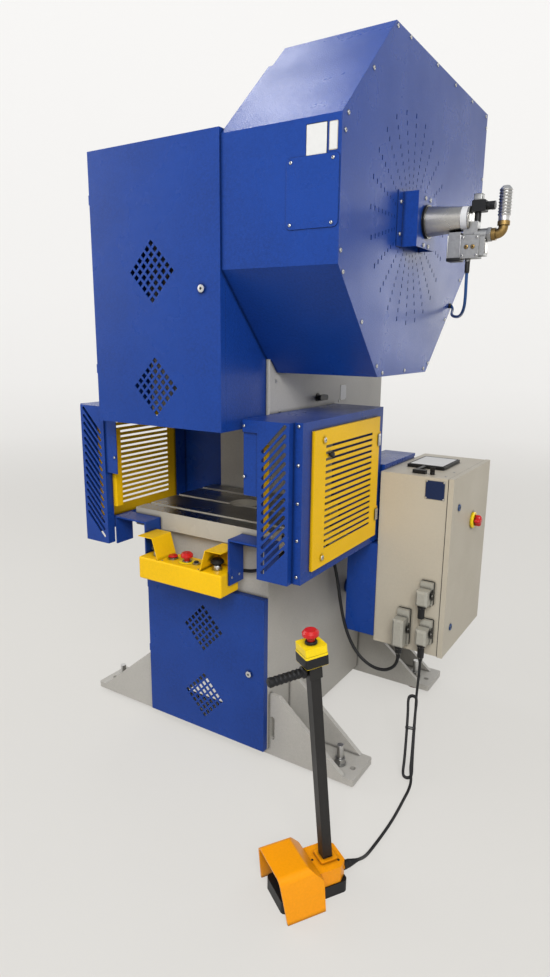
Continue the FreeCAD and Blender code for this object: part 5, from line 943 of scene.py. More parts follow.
# ---------------------------------------------------------------- cables
@dataclass(frozen=True)
class Cable:
    """A free cord on one smooth spline.

    Args:
        name: the piece's name.
        length: real length in metres; not used.
        diameter: in metres.
        nodes: the frame's nodes that it stands for.
        slot: the record's material slot.
        lay: how it lies; not used.
        points: the route in the frame, in metres.
    """

    name: str
    length: float
    diameter: float
    nodes: tuple[str, ...]
    slot: str
    lay: str
    points: tuple[Point, ...]

    def build(self, workshop: Workshop) -> None:
        """Args:
            workshop: makes the pieces.
        """
        curve = bpy.data.curves.new(self.name, "CURVE")
        curve.dimensions = "3D"
        curve.bevel_depth = self.diameter / 2
        curve.bevel_resolution = CORD_SIDES
        curve.resolution_u = CORD_STEPS
        curve.use_fill_caps = True
        spline = curve.splines.new("NURBS")
        spline.points.add(len(self.points) - 1)
        for knot, point in zip(spline.points, self.points):
            knot.co = (*point, 1.0)
        spline.order_u = CORD_ORDER
        spline.use_endpoint_u = True
        curve.materials.append(workshop.paints.get(self.slot))
        piece = workshop.deliver(show(self.name, curve), ROOT, self.slot)
        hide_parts(*self.nodes)
        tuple(self.points[0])


CABLES = (
    Cable("console_lead", 1.3055, 0.013, ("console_cable",), "black_rubber", "hanging", (
        (-0.01075, -0.25648, 0.747), (-0.01075, -0.2285, 0.747), (0.02125, -0.2285, 0.751),
        (0.0612, -0.2325, 0.757), (0.1013, -0.2355, 0.772), (0.1393, -0.2185, 0.793),
        (0.1432, -0.1715, 0.815), (0.1412, -0.1065, 0.826), (0.1393, -0.0185, 0.829),
        (0.1403, 0.0655, 0.826), (0.1472, 0.1295, 0.803), (0.1593, 0.1715, 0.762),
        (0.1772, 0.1915, 0.69), (0.1933, 0.1975, 0.608), (0.2102, 0.1945, 0.52),
        (0.2293, 0.1935, 0.44), (0.2612, 0.1905, 0.368), (0.3053, 0.1875, 0.314),
        (0.3613, 0.1865, 0.284), (0.4153, 0.1895, 0.281), (0.4532, 0.1925, 0.305),
        (0.46925, 0.19352, 0.34), (0.46925, 0.19352, 0.372),
    )),
    Cable("pedal_lead", 2.193, 0.010,
          ("pedal_cable_upper", "pedal_cable_hank", "pedal_cable_lower"), "black_rubber", "loose", (
        (0.55925, 0.19352, 0.378), (0.55925, 0.19352, 0.352), (0.5605, 0.1895, 0.322),
        (0.562, 0.179, 0.286), (0.5642, 0.1619, 0.226), (0.5777, 0.1242, 0.1814),
        (0.5965, 0.067, 0.1144), (0.6163, 0.0102, 0.0475), (0.6274, -0.0172, 0.0148),
        (0.62, -0.0267, 0.0074), (0.6067, -0.0311, 0.0074), (0.5952, -0.0279, 0.0149),
        (0.5882, 0.0059, 0.0567), (0.5566, 0.1019, 0.181), (0.5413, 0.1354, 0.2247),
        (0.5486, 0.1452, 0.2332), (0.5619, 0.1496, 0.2332), (0.5737, 0.1457, 0.225),
        (0.5819, 0.1082, 0.1827), (0.6153, 0.0066, 0.0637), (0.6304, -0.0264, 0.0236),
        (0.623, -0.036, 0.0162), (0.6097, -0.0404, 0.0162), (0.5982, -0.0373, 0.0238),
        (0.5913, -0.0034, 0.0655), (0.5596, 0.0927, 0.1897), (0.5443, 0.1262, 0.2334),
        (0.5516, 0.136, 0.2419), (0.5649, 0.1403, 0.2419), (0.5767, 0.1365, 0.2338),
        (0.5849, 0.099, 0.1914), (0.6174, -0.0029, 0.0724), (0.6224, -0.0245, 0.0479),
        (0.64, -0.056, 0.023), (0.644, -0.09, 0.009), (0.645, -0.132, 0.0055),
        (0.649, -0.19, 0.0055), (0.652, -0.26, 0.0055), (0.651, -0.33, 0.0055),
        (0.648, -0.39, 0.0055), (0.646, -0.444, 0.0085), (0.649, -0.4865, 0.029),
        (0.6524, -0.5384, 0.062), (0.6382, -0.5602, 0.062),
    )),
    Cable("clutch_hose", 0.6125, 0.010, ("air_hose",), "blue_plastic", "hanging", (
        (0.67725, 0.04352, 1.811), (0.67725, 0.04352, 1.755), (0.6773, 0.0475, 1.712),
        (0.6713, 0.0635, 1.678), (0.6563, 0.0935, 1.658), (0.6292, 0.1515, 1.65),
        (0.5993, 0.2135, 1.651), (0.5702, 0.2755, 1.655), (0.5463, 0.3335, 1.661),
        (0.5273, 0.3875, 1.668), (0.5143, 0.4335, 1.677), (0.5053, 0.4675, 1.69),
        (0.49425, 0.47952, 1.7),
    )),
)


@dataclass(frozen=True)
class StrainRelief:
    """A tapered sleeve with rings, where a cable leaves its gland.

    Args:
        name: the piece's name.
        base: the gland's face, in the frame.
        facing: the way the cable leaves.
        radii: at the gland and at the tip, in millimetres.
        length: in millimetres.
        rings: how many rings it has.
        margin: plain length at each end.
        step: how much thinner it is between two rings.
        share: the ring's part of a ring and its gap.
    """

    name: str
    base: Point
    facing: Point
    radii: Pair
    length: float = 22.0
    rings: int = 5
    margin: float = 2.0
    step: float = 0.8
    share: Pair = (0.55, 0.6)

    def build(self, workshop: Workshop) -> None:
        """Turn the sleeve.

        Args:
            workshop: makes the pieces.
        """
        wide, narrow = self.radii
        pitch = (self.length - 2 * self.margin) / self.rings
        profile = [(wide, 0.0)]
        for ring in range(self.rings):
            start = self.margin + ring * pitch
            radius = wide + (narrow - wide) * (ring + 1) / self.rings
            profile += [(radius, start), (radius, start + pitch * self.share[0]),
                        (radius - self.step, start + pitch * self.share[1])]
        profile.append((narrow - 0.6, self.length))
        workshop.turned(self.name, profile, Vector(self.base), self.facing, ROOT, "black_rubber",
                        24)


class Cabling:
    """The free cables, what sits at their ends and the tie round the hank."""

    HOSE_FITTINGS = (
        ("hose_sleeve", 0, UP, "black_rubber",
         ((6.0, -34.0), (7.1, -32.0), (7.5, -29.0), (7.5, -2.0), (6.5, 0.0))),
        ("hose_bush", -1, RIGHT, "black_plastic", ((9.0, -8.0), (9.0, -2.0), (7.5, 0.0))),
    )
    SLEEVES = (
        StrainRelief("console_gland_sleeve", (-0.01075, -0.2565, 0.7470), (0, 1, 0), (10.0, 7.6)),
        StrainRelief("console_plug_sleeve", (0.46925, 0.19352, 0.3720), DOWN, (11.0, 7.6)),
        StrainRelief("pedal_plug_sleeve", (0.55925, 0.19352, 0.3780), DOWN, (11.0, 6.2)),
        StrainRelief("pedal_gland_sleeve", (0.6382, -0.5602, 0.0620), (0.5446, 0.8387, 0.0),
                     (11.4, 6.4), 26.0),
    )
    HANK_ENDS = (Vector((0.5549, 0.1486, 0.2347)), Vector((0.6176, -0.0419, 0.0117)))
    TIE_SHARE = 0.40
    TIE_HALF = (19.6, 19.4)

    def build(self, workshop: Workshop) -> None:
        """Make the cables first, then what is on them.

        Args:
            workshop: makes the pieces.
        """
        for cable in CABLES:
            cable.build(workshop)
        hose = CABLES[-1].points
        for name, end, facing, slot, profile in self.HOSE_FITTINGS:
            workshop.turned(name, profile, Vector(hose[end]), facing, ROOT, slot)
        for sleeve in self.SLEEVES:
            sleeve.build(workshop)
        top, low = self.HANK_ENDS
        along = (low - top).normalized()
        side = Vector((-along.y, along.x, 0.0)).normalized()
        turn = Matrix((side, along.cross(side), along)).transposed()
        middle = top.lerp(low, self.TIE_SHARE)
        workshop.band("hank_tie_1", self.TIE_HALF, 8.0, 5.0, 1.4, middle, turn, ROOT,
                      "black_plastic")


# ---------------------------------------------------------------- the press
@dataclass(frozen=True)
class BlankPlate:
    """A bare plate with a fine border, and rivets where it has them.

    Args:
        name: the plate's name.
        side: which way it faces.
        across: its ends along the surface's right, in millimetres.
        upward: its ends along the surface's up.
        level: coordinate of the surface that it lies on.
        field: slot of its middle.
        border: slot of its rim.
        rivets: True for a rivet in each corner.
        margin: width of the rim.
        inset: from the plate's edges to the rivets' middles.
    """

    name: str
    side: Side
    across: Pair
    upward: Pair
    level: float
    field: str = "white_plate"
    border: str = "cabinet_grey"
    rivets: bool = False
    margin: float = 1.6
    inset: float = 4.5

    def build(self, workshop: Workshop, screws: ScrewSetter) -> None:
        """Make the rim, the middle on it and the rivets.

        Args:
            workshop: makes the pieces.
            screws: sets the rows of screws.
        """
        turn = self.side.turn()
        middle = self.side.spot(workshop.setting, sum(self.across) / 2, sum(self.upward) / 2,
                                self.level)
        wide, tall = ((high - low) / 2 for low, high in (self.across, self.upward))
        workshop.loft(self.name, [
            (-0.4, wide, tall, 3.0), (0.5, wide, tall, 3.0), (0.7, wide - 0.2, tall - 0.2, 2.8),
        ], middle, turn, ROOT, self.border)
        inner_x, inner_y = wide - self.margin, tall - self.margin
        workshop.loft(self.name + "_field", [
            (0.6, inner_x, inner_y, 2.0), (0.9, inner_x, inner_y, 2.0),
            (1.1, inner_x - 0.15, inner_y - 0.15, 1.85),
        ], middle, turn, ROOT, self.field)
        if self.rivets:
            far_x, far_y = wide - self.inset, tall - self.inset
            places = [middle + turn @ (Vector((x, y, 1.0)) * MILLI)
                      for x in (-far_x, far_x) for y in (-far_y, far_y)]
            screws.put(self.name + "_rivets", places, self.side.value[2], 3.4, 1.2, ROOT)


@dataclass(frozen=True)
class FlywheelGuardDress:
    """Screws and bare plates on the flywheel guard.

    Args:
        face: X of the plate's outer face.
        screw_places: (y, z) of the button heads.
        cover_face: Y of the inspection cover's face.
        cover_screws: (x, z) of its screws.
        plates: the bare plates on the front face.
    """

    face: float = 647.0
    screw_places: tuple[Pair, ...] = (
        (-176, 2434), (-79, 2438), (158, 2438), (345, 2433), (543, 2435), (730, 2432), (745, 2394),
        (742, 2205), (-325, 2283), (-467, 2138), (-481, 2094), (-489, 1803), (-471, 1750),
        (-342, 1623), (-222, 1494), (-176, 1472), (9, 1473), (190, 1473), (234, 1491), (392, 1648),
        (540, 1801),
    )
    cover_face: float = -502.0
    cover_screws: tuple[Pair, ...] = ((498, 2029), (625, 2028), (497, 1873), (624, 1872))
    plates: tuple[BlankPlate, ...] = (
        BlankPlate("guard_bare_plate", Side.FRONT, (543, 606), (2039, 2116), -500.0,
                   border="black_plastic"),
        BlankPlate("guard_bare_strip", Side.FRONT, (611, 636), (2046, 2114), -500.0),
    )

    def build(self, workshop: Workshop, screws: ScrewSetter) -> None:
        """Set the screws and the bare plates.

        Args:
            workshop: makes the pieces.
            screws: sets the rows of screws.
        """
        spot = workshop.setting.spot
        screws.put("guard_screws", [spot(self.face, *place) for place in self.screw_places],
                   RIGHT, 6.0, 3.4, ROOT)
        screws.put("inspection_screws", [spot(x, self.cover_face, z) for x, z in self.cover_screws],
                   FRONT, 4.5, 2.6, ROOT)
        for plate in self.plates:
            plate.build(workshop, screws)


@dataclass(frozen=True)
class ClutchDress:
    """Screws, bands, nuts and plates of the air clutch.

    Args:
        screw_rows: name, X and (y, z) places of the bracket's screws.
        axis_height: Z of the crank axis.
        rings: name, X, slot and profile of what lies round the cylinder.
        valve_side: Y of the valve's front.
    """

    screw_rows: tuple[tuple[str, float, tuple[Pair, ...]], ...] = (
        ("bracket_flange_screws", 650.0, ((-98, 1985), (-98, 1892), (98, 1985), (98, 1892))),
        ("bracket_face_screws", 699.0, ((-21, 2003), (-21, 1865), (21, 2003), (21, 1865))),
    )
    axis_height: float = 1936.0
    rings: tuple[tuple[str, float, str, tuple[Pair, ...]], ...] = (
        ("cylinder_dark_ring", 699.6, "dark_steel",
         ((49.0, 0.0), (49.6, 0.8), (49.6, 8.0), (45.2, 8.8))),
        ("cylinder_bare_wrap", 815.4, "white_plate",
         ((33.6, 0.0), (36.0, 0.3), (36.0, 19.6), (33.6, 20.0))),
        ("cylinder_end_cap", 835.2, "stainless",
         ((33.8, 0.0), (36.2, 0.2), (36.2, 4.4), (34.6, 5.8), (14.0, 6.0))),
    )
    valve_side: float = -20.0

    def valve(self, workshop: Workshop, screws: ScrewSetter) -> None:
        """Coil, plates, port plugs and nuts of the valve.

        Args:
            workshop: makes the pieces.
            screws: sets the rows of screws.
        """
        spot = workshop.setting.spot
        for name, slot, bevel, corners in (
            ("coil_black_base", "black_plastic", 1.5, (((776, -21.5, 1812), (819.5, 21.5, 1822)),)),
            ("coil_yoke", "zinc_steel", 0.6, (((776.6, -21.2, 1822), (779.4, 21.2, 1888)),
                                              ((815.4, -21.2, 1822), (818.2, 21.2, 1888)))),
            ("valve_plate_bare", "stainless", 0.4, (((890.6, -15, 1832), (892.2, 15, 1872)),)),
        ):
            workshop.blocks(name, [(spot(*low), spot(*high)) for low, high in corners], ROOT, slot,
                            bevel)
        screws.put("valve_plate_screws",
                   [spot(892.2, y, z) for y in (-12, 12) for z in (1835, 1869)],
                   RIGHT, 2.2, 1.2, ROOT)
        screws.put("valve_side_screws",
                   [spot(x, self.valve_side, z) for x in (825, 867) for z in (1827, 1879)],
                   FRONT, 4.0, 2.2, ROOT)
        screws.put("valve_port_plugs", [spot(x, self.valve_side, 1852) for x in (836, 856)],
                   FRONT, 6.5, 2.6, ROOT, Head.PLUG, "brass")
        workshop.turned("elbow_nut", [
            (20.5, 0.0), (22.0, 1.2), (22.0, 11.0), (20.5, 12.2), (18.6, 12.4),
        ], spot(894.0, 0, 1886.0), RIGHT, ROOT, "cast_alloy", 6)
        workshop.loft("connector_nut", [
            (0, 13.1, 12.6, 3.0), (16.6, 13.1, 12.6, 3.0), (18.6, 11.4, 11.0, 2.4),
        ], spot(859.5, 0, 1984.8), UNTURNED, ROOT, "cast_alloy")
        workshop.turned("connector_cap", [
            (12.2, 0.0), (13.0, 1.0), (13.0, 10.0), (11.5, 12.0), (6.0, 12.4),
        ], spot(897, 0, 1968), RIGHT, ROOT, "black_plastic", 6)

    def build(self, workshop: Workshop, screws: ScrewSetter) -> None:
        """Set the bracket's screws and dress the cylinder and the valve.

        Args:
            workshop: makes the pieces.
            screws: sets the rows of screws.
        """
        spot = workshop.setting.spot
        for name, face, places in self.screw_rows:
            screws.put(name, [spot(face, *place) for place in places], RIGHT, 6.5, 4.0, ROOT)
        for name, level, slot, profile in self.rings:
            workshop.turned(name, profile, spot(level, 0, self.axis_height), RIGHT, ROOT, slot, 64)
        self.valve(workshop, screws)


@dataclass(frozen=True)
class ToolGuardDress:
    """Screws, locks, hinge leaves and knob of a tool guard and its yellow door.

    Args:
        side: 1 for the right guard, -1 for the left.
        flange_screws: X, Y and heights of the flange's screws.
        face_screws: X, Y and heights of the front's screws.
        lock_y: Y of the door's locks.
        lock_heights: Z of the door's locks.
        door_face: X of the door's outer face.
        hinge_heights: Z of the door's hinges.
        hinge_y: Y of the leaves' ends and of their screws.
        leaf: X of a leaf's inner and outer face.
        leaf_half: half of a leaf's height.
        knob: place of the door's small knob.
    """

    side: int
    flange_screws: tuple[float, float, tuple[float, ...]] = (
        475, -393, (1312, 1190, 1068, 946, 824),
    )
    face_screws: tuple[float, float, tuple[float, ...]] = (290.8, -422, (1138.5, 1303))
    lock_y: float = -273.0
    lock_heights: Pair = (1258.0, 862.0)
    door_face: float = 505.0
    hinge_heights: Pair = (915.0, 1205.0)
    hinge_y: Point = (150.0, 171.0, 160.0)
    leaf: Pair = (504.6, 505.8)
    leaf_half: float = 22.0
    knob: Point = (501.0, -236.0, 1206.5)

    def build(self, workshop: Workshop, screws: ScrewSetter) -> None:
        """Set the screws, the lock faces, the hinge leaves and the small knob.

        Args:
            workshop: makes the pieces.
            screws: sets the rows of screws.
        """
        spot, side = workshop.setting.spot, self.side
        tag, out = ("right" if side > 0 else "left"), (side, 0, 0)
        for name, (x, y, heights), radius, height in (
            ("tool_guard_screws", self.flange_screws, 5.5, 3.2),
            ("tool_guard_face_screws", self.face_screws, 4.5, 2.8),
        ):
            screws.put(f"{name}_{tag}", [spot(side * x, y, z) for z in heights], FRONT, radius,
                       height, ROOT)
        body = f"side_door_{tag}"
        screws.put(f"quarter_turn_{tag}",
                   [spot(side * self.door_face, self.lock_y, z) for z in self.lock_heights],
                   out, 9.0, 2.4, body, Head.QUARTER_TURN)
        low, high = sorted(side * face for face in self.leaf)
        start, end, middle = self.hinge_y
        workshop.blocks(f"side_hinge_leaves_{tag}", [
            (spot(low, start, z - self.leaf_half), spot(high, end, z + self.leaf_half))
            for z in self.hinge_heights
        ], body, "zinc_steel", 0.6)
        screws.put(f"side_hinge_screws_{tag}", [
            spot(side * self.leaf[1], middle, z + step)
            for z in self.hinge_heights for step in (-12, 12)
        ], out, 3.4, 1.2, body)
        x, y, z = self.knob
        workshop.turned(f"side_door_knob_{tag}", [
            (5.0, -3), (5.0, 5), (9.5, 7), (10.5, 12), (8.5, 16), (3.0, 17.5),
        ], spot(side * x, y, z), out, body, "black_plastic", 28)


@dataclass(frozen=True)
class DoorDress:
    """Locks of the two front doors.

    Args:
        locks: each door with the (x, z) of its lock.
    """

    locks: tuple[tuple[str, Pair], ...] = (
        ("upper_door", (197.0, 1717.0)), ("lower_door", (215.0, 352.0)),
    )

    def build(self, workshop: Workshop, screws: ScrewSetter) -> None:
        """Set a slotted face on each lock.

        Args:
            workshop: makes the pieces.
            screws: sets the rows of screws.
        """
        for node, (x, z) in self.locks:
            place = workshop.setting.spot(x, 0, z)
            place.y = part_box(node)[0].y
            screws.put(f"{node}_lock_face", [place], FRONT, 12.0, 1.4, node, Head.QUARTER_TURN)


@dataclass(frozen=True)
class FrameDress:
    """Small screws and bare tag on the frame, and the bright slot edges of the bolster.

    Args:
        face: X of the side plate's outer face.
        screw_places: (y, z) of the small screws.
        tag: the bare tag.
        slot_rows: Y of the bolster's slots.
        slot_edges: from a slot's middle to where its two bright strips start.
        strip: width of a strip, and how far it lies in and above the bolster's top.
        strip_end: X of the strips' right ends.
        bolster_top: Z of the bolster's top.
    """

    face: float = 280.0
    screw_places: tuple[Pair, ...] = ((-218, 1431), (-193, 1327), (258, 1330))
    tag: BlankPlate = BlankPlate("frame_bare_tag", Side.RIGHT, (266, 320), (1330, 1394), 280.0,
                                 rivets=True)
    slot_rows: tuple[float, ...] = (-216.0, -42.0, 119.0)
    slot_edges: Pair = (-11.6, 9.2)
    strip: Point = (2.4, 0.3, 0.25)
    strip_end: float = 318.0
    bolster_top: float = 920.0

    def build(self, workshop: Workshop, screws: ScrewSetter) -> None:
        """Set the screws, the tag and the slots' edges.

        Args:
            workshop: makes the pieces.
            screws: sets the rows of screws.
        """
        spot = workshop.setting.spot
        screws.put("side_plate_screws", [spot(self.face, *place) for place in self.screw_places],
                   RIGHT, 5.0, 3.0, ROOT)
        self.tag.build(workshop, screws)
        wide, below, above = self.strip
        workshop.blocks("slot_edges", [
            (spot(-self.strip_end, row + edge, self.bolster_top - below),
             spot(self.strip_end, row + edge + wide, self.bolster_top + above))
            for row in self.slot_rows for edge in self.slot_edges
        ], ROOT, "zinc_steel", 0.2)


@dataclass(frozen=True)
class Plug:
    """A square connector on the cabinet's front, in millimetres.

    Args:
        base_x: X range of its base.
        base_z: Z range of its base.
        hood_low: Z of its hood's lower end.
        gland_x: X of its gland.
        gland_end: Z where the gland ends.
        face: Y of the cabinet's front.
        middle: Y of the hood's middle.
        seal: how far the seal stands out, and its thickness.
    """

    base_x: Pair
    base_z: Pair
    hood_low: float
    gland_x: float
    gland_end: float
    face: float = 188.0
    middle: float = 150.0
    seal: Pair = (2.0, 3.0)

    def build(self, workshop: Workshop, screws: ScrewSetter, tag: int) -> None:
        """Seal, locking levers and gland nut.

        Args:
            workshop: makes the pieces.
            screws: sets the levers' pivots.
            tag: the connector's number.
        """
        spot = workshop.setting.spot
        (left, right), (low, top) = self.base_x, self.base_z
        middle, (spare, thick) = (low + top) / 2, self.seal
        workshop.band(f"plug_seal_{tag}", ((right - left) / 2 + spare, (top - low) / 2 + spare),
                      4.0, thick, 4.0, spot((left + right) / 2, self.face - 1.6, middle),
                      Side.FRONT.turn(), ROOT, "black_rubber")
        levers, pivots = [], []
        for edge, out in ((left, -1), (right, 1)):
            inner, outer = sorted((edge + out * 0.2, edge + out * 2.4))
            for start, end, half in ((150, 172, 13), (166, 174, 22)):
                levers.append((spot(inner, start, middle - half), spot(outer, end, middle + half)))
            pivots.append(spot(edge + out * 2.4, 160, middle))
        workshop.blocks(f"plug_levers_{tag}", levers, ROOT, "dark_steel", 0.7)
        for pivot, out, side in zip(pivots, (-1, 1), ("left", "right")):
            screws.put(f"plug_pivot_{tag}_{side}", [pivot], (out, 0, 0), 4.2, 1.6, ROOT)
        reach = self.hood_low - self.gland_end
        workshop.turned(f"plug_gland_{tag}", [
            (15.9, 0.0), (15.9, 12.8), (14.6, 14.2), (12.7, 14.4), (12.7, reach - 2.0),
            (11.6, reach),
        ], spot(self.gland_x, self.middle, self.hood_low), DOWN, ROOT, "black_plastic", 36, False,
                        (6, 0.035))


@dataclass(frozen=True)
class CabinetDress:
    """Seal, locks, switch, screen, bare plate and connectors of the electrical cabinet.

    Args:
        plate: the bare plate on the front.
        top_screws: places of the screws on the top.
        screen: place of the operator screen's middle.
        screen_half: half of its size along X and Y.
        seal: place of the door's seal.
        seal_half: half of its size along Y and Z.
        door_face: X of the door's outer face.
        lock_places: (y, z) of the door's locks.
        switch: (y, z) of the main switch.
        plugs: the square connectors.
    """

    plate: BlankPlate = BlankPlate("cabinet_bare_plate", Side.FRONT, (684, 759), (997, 1069), 188.0,
                                   "navy_plate", "stainless", True)
    top_screws: tuple[Point, ...] = ((745, 231, 1080), (747, 325, 1080))
    screen: Point = (627.5, 438.0, 1092.0)
    screen_half: Pair = (67.0, 94.0)
    seal: Point = (770.6, 430.0, 729.5)
    seal_half: Pair = (242.4, 350.9)
    door_face: float = 792.0
    lock_places: tuple[Pair, ...] = ((266.0, 961.0), (266.0, 479.0))
    switch: Pair = (460.0, 869.0)
    plugs: tuple[Plug, ...] = (
        Plug((610, 658), (404, 548), 407, 630, 372),
        Plug((696, 744), (588, 678), 595, 712, 538),
        Plug((704, 750), (431, 526), 437, 720, 378),
    )

    def door(self, workshop: Workshop, screws: ScrewSetter) -> None:
        """Seal, lock caps and the main switch.

        Args:
            workshop: makes the pieces.
            screws: sets the rows of screws.
        """
        spot, door = workshop.setting.spot, "cabinet_door"
        workshop.band("cabinet_seal", self.seal_half, 1.2, 2.6, 2.6, spot(*self.seal),
                      Side.RIGHT.turn(), ROOT, "black_rubber")
        for index, place in enumerate(self.lock_places):
            workshop.turned(f"cabinet_lock_cap_{index + 1}", [
                (13.4, -0.4), (13.4, 3.0), (12.2, 4.6), (8.6, 5.0), (7.8, 4.3),
            ], spot(self.door_face, *place), RIGHT, door, "blue_plastic", 40)
        screws.put("cabinet_lock_faces",
                   [spot(self.door_face + 4.2, *place) for place in self.lock_places],
                   RIGHT, 6.4, 0.9, door, Head.QUARTER_TURN, "dark_steel")
        base = spot(self.door_face, *self.switch)
        ring = workshop.turned("main_switch_ring", [
            (8.5, -0.2), (33.0, -0.2), (33.0, 7.6), (30.0, 11.0), (24.5, 12.0), (8.5, 12.0),
        ], base, RIGHT, door, "yellow_plastic", 64, True)
        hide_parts("switch_base")
        handle = workshop.turned("main_switch_handle", [
            (6.6, 2.0), (6.6, 12.4), (18.2, 12.4), (19.3, 13.6), (19.3, 29.0), (18.0, 33.4),
            (15.0, 36.2), (9.0, 37.2),
        ], base, RIGHT, "main_switch", "red_plastic", 64, False, (4, 0.18))
        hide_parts("main_switch")

    def build(self, workshop: Workshop, screws: ScrewSetter) -> None:
        """Dress the cabinet's front, top, door and connectors.

        Args:
            workshop: makes the pieces.
            screws: sets the rows of screws.
        """
        spot = workshop.setting.spot
        self.plate.build(workshop, screws)
        screws.put("cabinet_top_screws", [spot(*place) for place in self.top_screws], UP, 4.0, 1.8,
                   ROOT)
        middle, (wide, tall) = spot(*self.screen), self.screen_half
        workshop.loft("operator_screen", [
            (-1.6, wide, tall, 4.0), (0.9, wide, tall, 4.0), (1.2, wide - 0.2, tall - 0.2, 3.8),
        ], middle, UNTURNED, ROOT, "white_plate")
        workshop.band("operator_screen_frame", (wide + 3.0, tall + 3.0), 6.0, 2.4, 3.0,
                      middle + Vector((0, 0, 0.9)) * MILLI, UNTURNED, ROOT, "black_plastic")
        self.door(workshop, screws)
        for index, plug in enumerate(self.plugs):
            plug.build(workshop, screws, index + 1)


@dataclass(frozen=True)
class ConsoleDress:
    """Small parts of the two-hand console.

    Args:
        legend_radii: inner and outer radius of the emergency stop's ring.
        top: Z of the console's top.
        lid_screws: X and Y of the lid's screws, either side of the middle.
        button_y: Y of the row of buttons.
        palm_x: X of the palm buttons, either side.
        bracket_x: X of the brackets' outer faces, either side.
        bracket_screws: (y, z) of their screws.
    """

    legend_radii: Pair = (16.8, 30.0)
    top: float = 776.0
    lid_screws: tuple[Pair, Pair] = ((-84, 84), (-408, -324))
    button_y: float = -368.0
    palm_x: float = 138.0
    bracket_x: float = 197.0
    bracket_screws: tuple[Pair, ...] = ((-362, 755), (-318, 755))

    def build(self, workshop: Workshop, screws: ScrewSetter) -> None:
        """Set the lid's and brackets' screws, the stop's ring and the palm buttons' sleeves.

        Args:
            workshop: makes the pieces.
            screws: sets the rows of screws.
        """
        spot, (across, along) = workshop.setting.spot, self.lid_screws
        screws.put("console_lid_screws", [spot(x, y, self.top) for x in across for y in along],
                   UP, 3.6, 1.8, ROOT)
        inner, outer = self.legend_radii
        workshop.turned("stop_legend_ring", [
            (inner, -0.2), (outer, -0.2), (outer, 1.2), (outer - 1.6, 2.2), (inner, 2.2),
        ], spot(0, self.button_y, self.top), UP, ROOT, "yellow_plastic", 56, True)
        for side, tag in ((-1, "left"), (1, "right")):
            workshop.turned(f"palm_sleeve_{tag}", [
                (13.9, 3.0), (17.2, 3.0), (17.2, 7.0), (15.6, 8.4), (15.6, 15.6), (15.0, 16.4),
                (13.9, 16.4),
            ], spot(side * self.palm_x, self.button_y, self.top), UP, ROOT, "zinc_steel", 40, True)
        for side, tag in ((1, "right"), (-1, "left")):
            screws.put(f"bracket_screws_{tag}",
                       [spot(side * self.bracket_x, *place) for place in self.bracket_screws],
                       (side, 0, 0), 4.5, 2.6, ROOT)


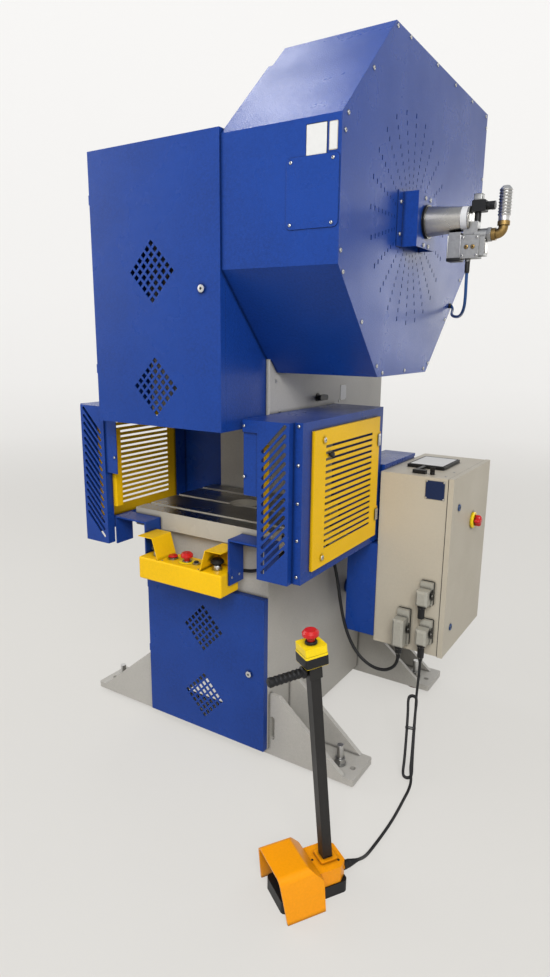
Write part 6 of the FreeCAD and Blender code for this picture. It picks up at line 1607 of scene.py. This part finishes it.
@dataclass(frozen=True)
class PedalDress:
    """Treads, stop box, gland and screws of the foot pedal.

    Args:
        place: the pedal's own origin on the press's axes.
        turn: degrees from X towards Y.
        lean: degrees that the post leans forwards.
        post_foot: where the post stands, along the pedal.
        neck_top: Z of the flat that it stands on.
        rib_count: ribs across the treadle.
        rib_start: where the first rib lies, along the pedal.
        rib_pitch: from one rib to the next.
        rib_width: half of a rib's length.
        rib_levels: height and half thickness of a rib's foot and top.
        screw_places: (x, y) of the screws in the flat.
        box_height: how far up the post the stop's box and its collar start.
        gland: the gland nut's place on the pedal's own axes.
    """

    place: Pair = (765.2, -608.0)
    turn: float = 57.0
    lean: float = 5.36
    post_foot: float = -46.0
    neck_top: float = 90.0
    rib_count: int = 8
    rib_start: float = -192.0
    rib_pitch: float = 9.0
    rib_width: float = 34.0
    rib_levels: tuple[Pair, Pair] = ((71.6, 2.0), (73.0, 1.5))
    screw_places: tuple[Pair, ...] = ((715.1, -681.2), (779.6, -639.2))
    box_height: Pair = (639.8, 697.0)
    gland: Point = (0.0, -26.0, 62.0)

    def base(self, setting: Setting) -> Matrix:
        """The pedal's own axes in the frame."""
        turn = Matrix.Rotation(math.radians(self.turn), 4, "Z")
        return Matrix.Translation(setting.spot(*self.place, 0.0)) @ turn

    def post(self, setting: Setting) -> Matrix:
        """The leaning post's own axes in the frame."""
        foot = Matrix.Translation(Vector((self.post_foot, 0.0, self.neck_top)) * MILLI)
        return self.base(setting) @ foot @ Matrix.Rotation(-math.radians(self.lean), 4, "Y")

    def treads(self, workshop: Workshop) -> None:
        """Ribs across the treadle.

        Args:
            workshop: makes the pieces.
        """
        base, wide = self.base(workshop.setting), self.rib_width
        shape = bmesh.new()
        for rib in range(self.rib_count):
            along = self.rib_start + rib * self.rib_pitch
            workshop.skin(shape, [
                [shape.verts.new(base @ (Vector((along + step, across, height)) * MILLI))
                 for step, across in ((-half, -wide), (half, -wide), (half, wide), (-half, wide))]
                for height, half in self.rib_levels
            ])
        workshop.from_mesh("treadle_ribs", shape, "pedal_treadle", "black_rubber")

    def build(self, workshop: Workshop, screws: ScrewSetter) -> None:
        """Dress the treadle, the stop's box and the gland.

        Args:
            workshop: makes the pieces.
            screws: sets the rows of screws.
        """
        setting = workshop.setting
        self.treads(workshop)
        base, post = self.base(setting), self.post(setting)
        box_turn, base_turn = post.to_3x3(), base.to_3x3()
        box, collar = (post @ Vector((0, 0, height * MILLI)) for height in self.box_height)
        workshop.loft("stop_box_dark_base", [
            (0.0, 33.0, 33.0, 5.4), (1.4, 34.4, 34.4, 6.4), (27.6, 34.4, 34.4, 6.4),
            (28.6, 34.1, 34.1, 6.2),
        ], box, box_turn, ROOT, "black_plastic")
        workshop.turned("stop_box_collar", [
            (11.6, -0.3), (17.0, -0.3), (17.0, 4.6), (15.4, 7.4), (11.6, 7.4),
        ], collar, box_turn @ Vector(UP), ROOT, "black_plastic", 40, True)
        cover = base @ (Vector((self.post_foot, 0.0, self.neck_top + 3.1)) * MILLI)
        workshop.band("post_foot_cover", (27.0, 27.0), 3.0, 6.6, 11.6, cover, base_turn, ROOT,
                      "pedal_orange")
        screws.put("pedal_neck_screws",
                   [setting.spot(*place, self.neck_top) for place in self.screw_places],
                   UP, 3.8, 1.0, ROOT, Head.SOCKET, "dark_steel")
        workshop.turned("pedal_gland_nut", [
            (12.0, 0.0), (13.2, 0.8), (13.2, 9.4), (12.2, 10.4), (11.8, 21.0), (11.0, 22.2),
        ], base @ (Vector(self.gland) * MILLI), base_turn @ Vector(RIGHT), ROOT, "black_plastic",
                        36, False, (6, 0.03))


def main() -> None:
    """Build the studio, the cables and every sub-assembly's dress in order."""
    logging.basicConfig(level=logging.INFO, format="%(message)s")
    paints = Paints()
    setting = Setting()
    workshop = Workshop(paints, setting)
    Studio().build()
    Cabling().build(workshop)
    paints.dress_nodes()
    screws = ScrewSetter(workshop)
    assemblies = (
        FlywheelGuardDress(), ClutchDress(), ToolGuardDress(1), ToolGuardDress(-1), DoorDress(),
        FrameDress(), CabinetDress(), ConsoleDress(), PedalDress(),
    )
    for assembly in assemblies:
        assembly.build(workshop, screws)
    LOG.info("%d pieces delivered", workshop.count)


if __name__ == "__main__":
    main()
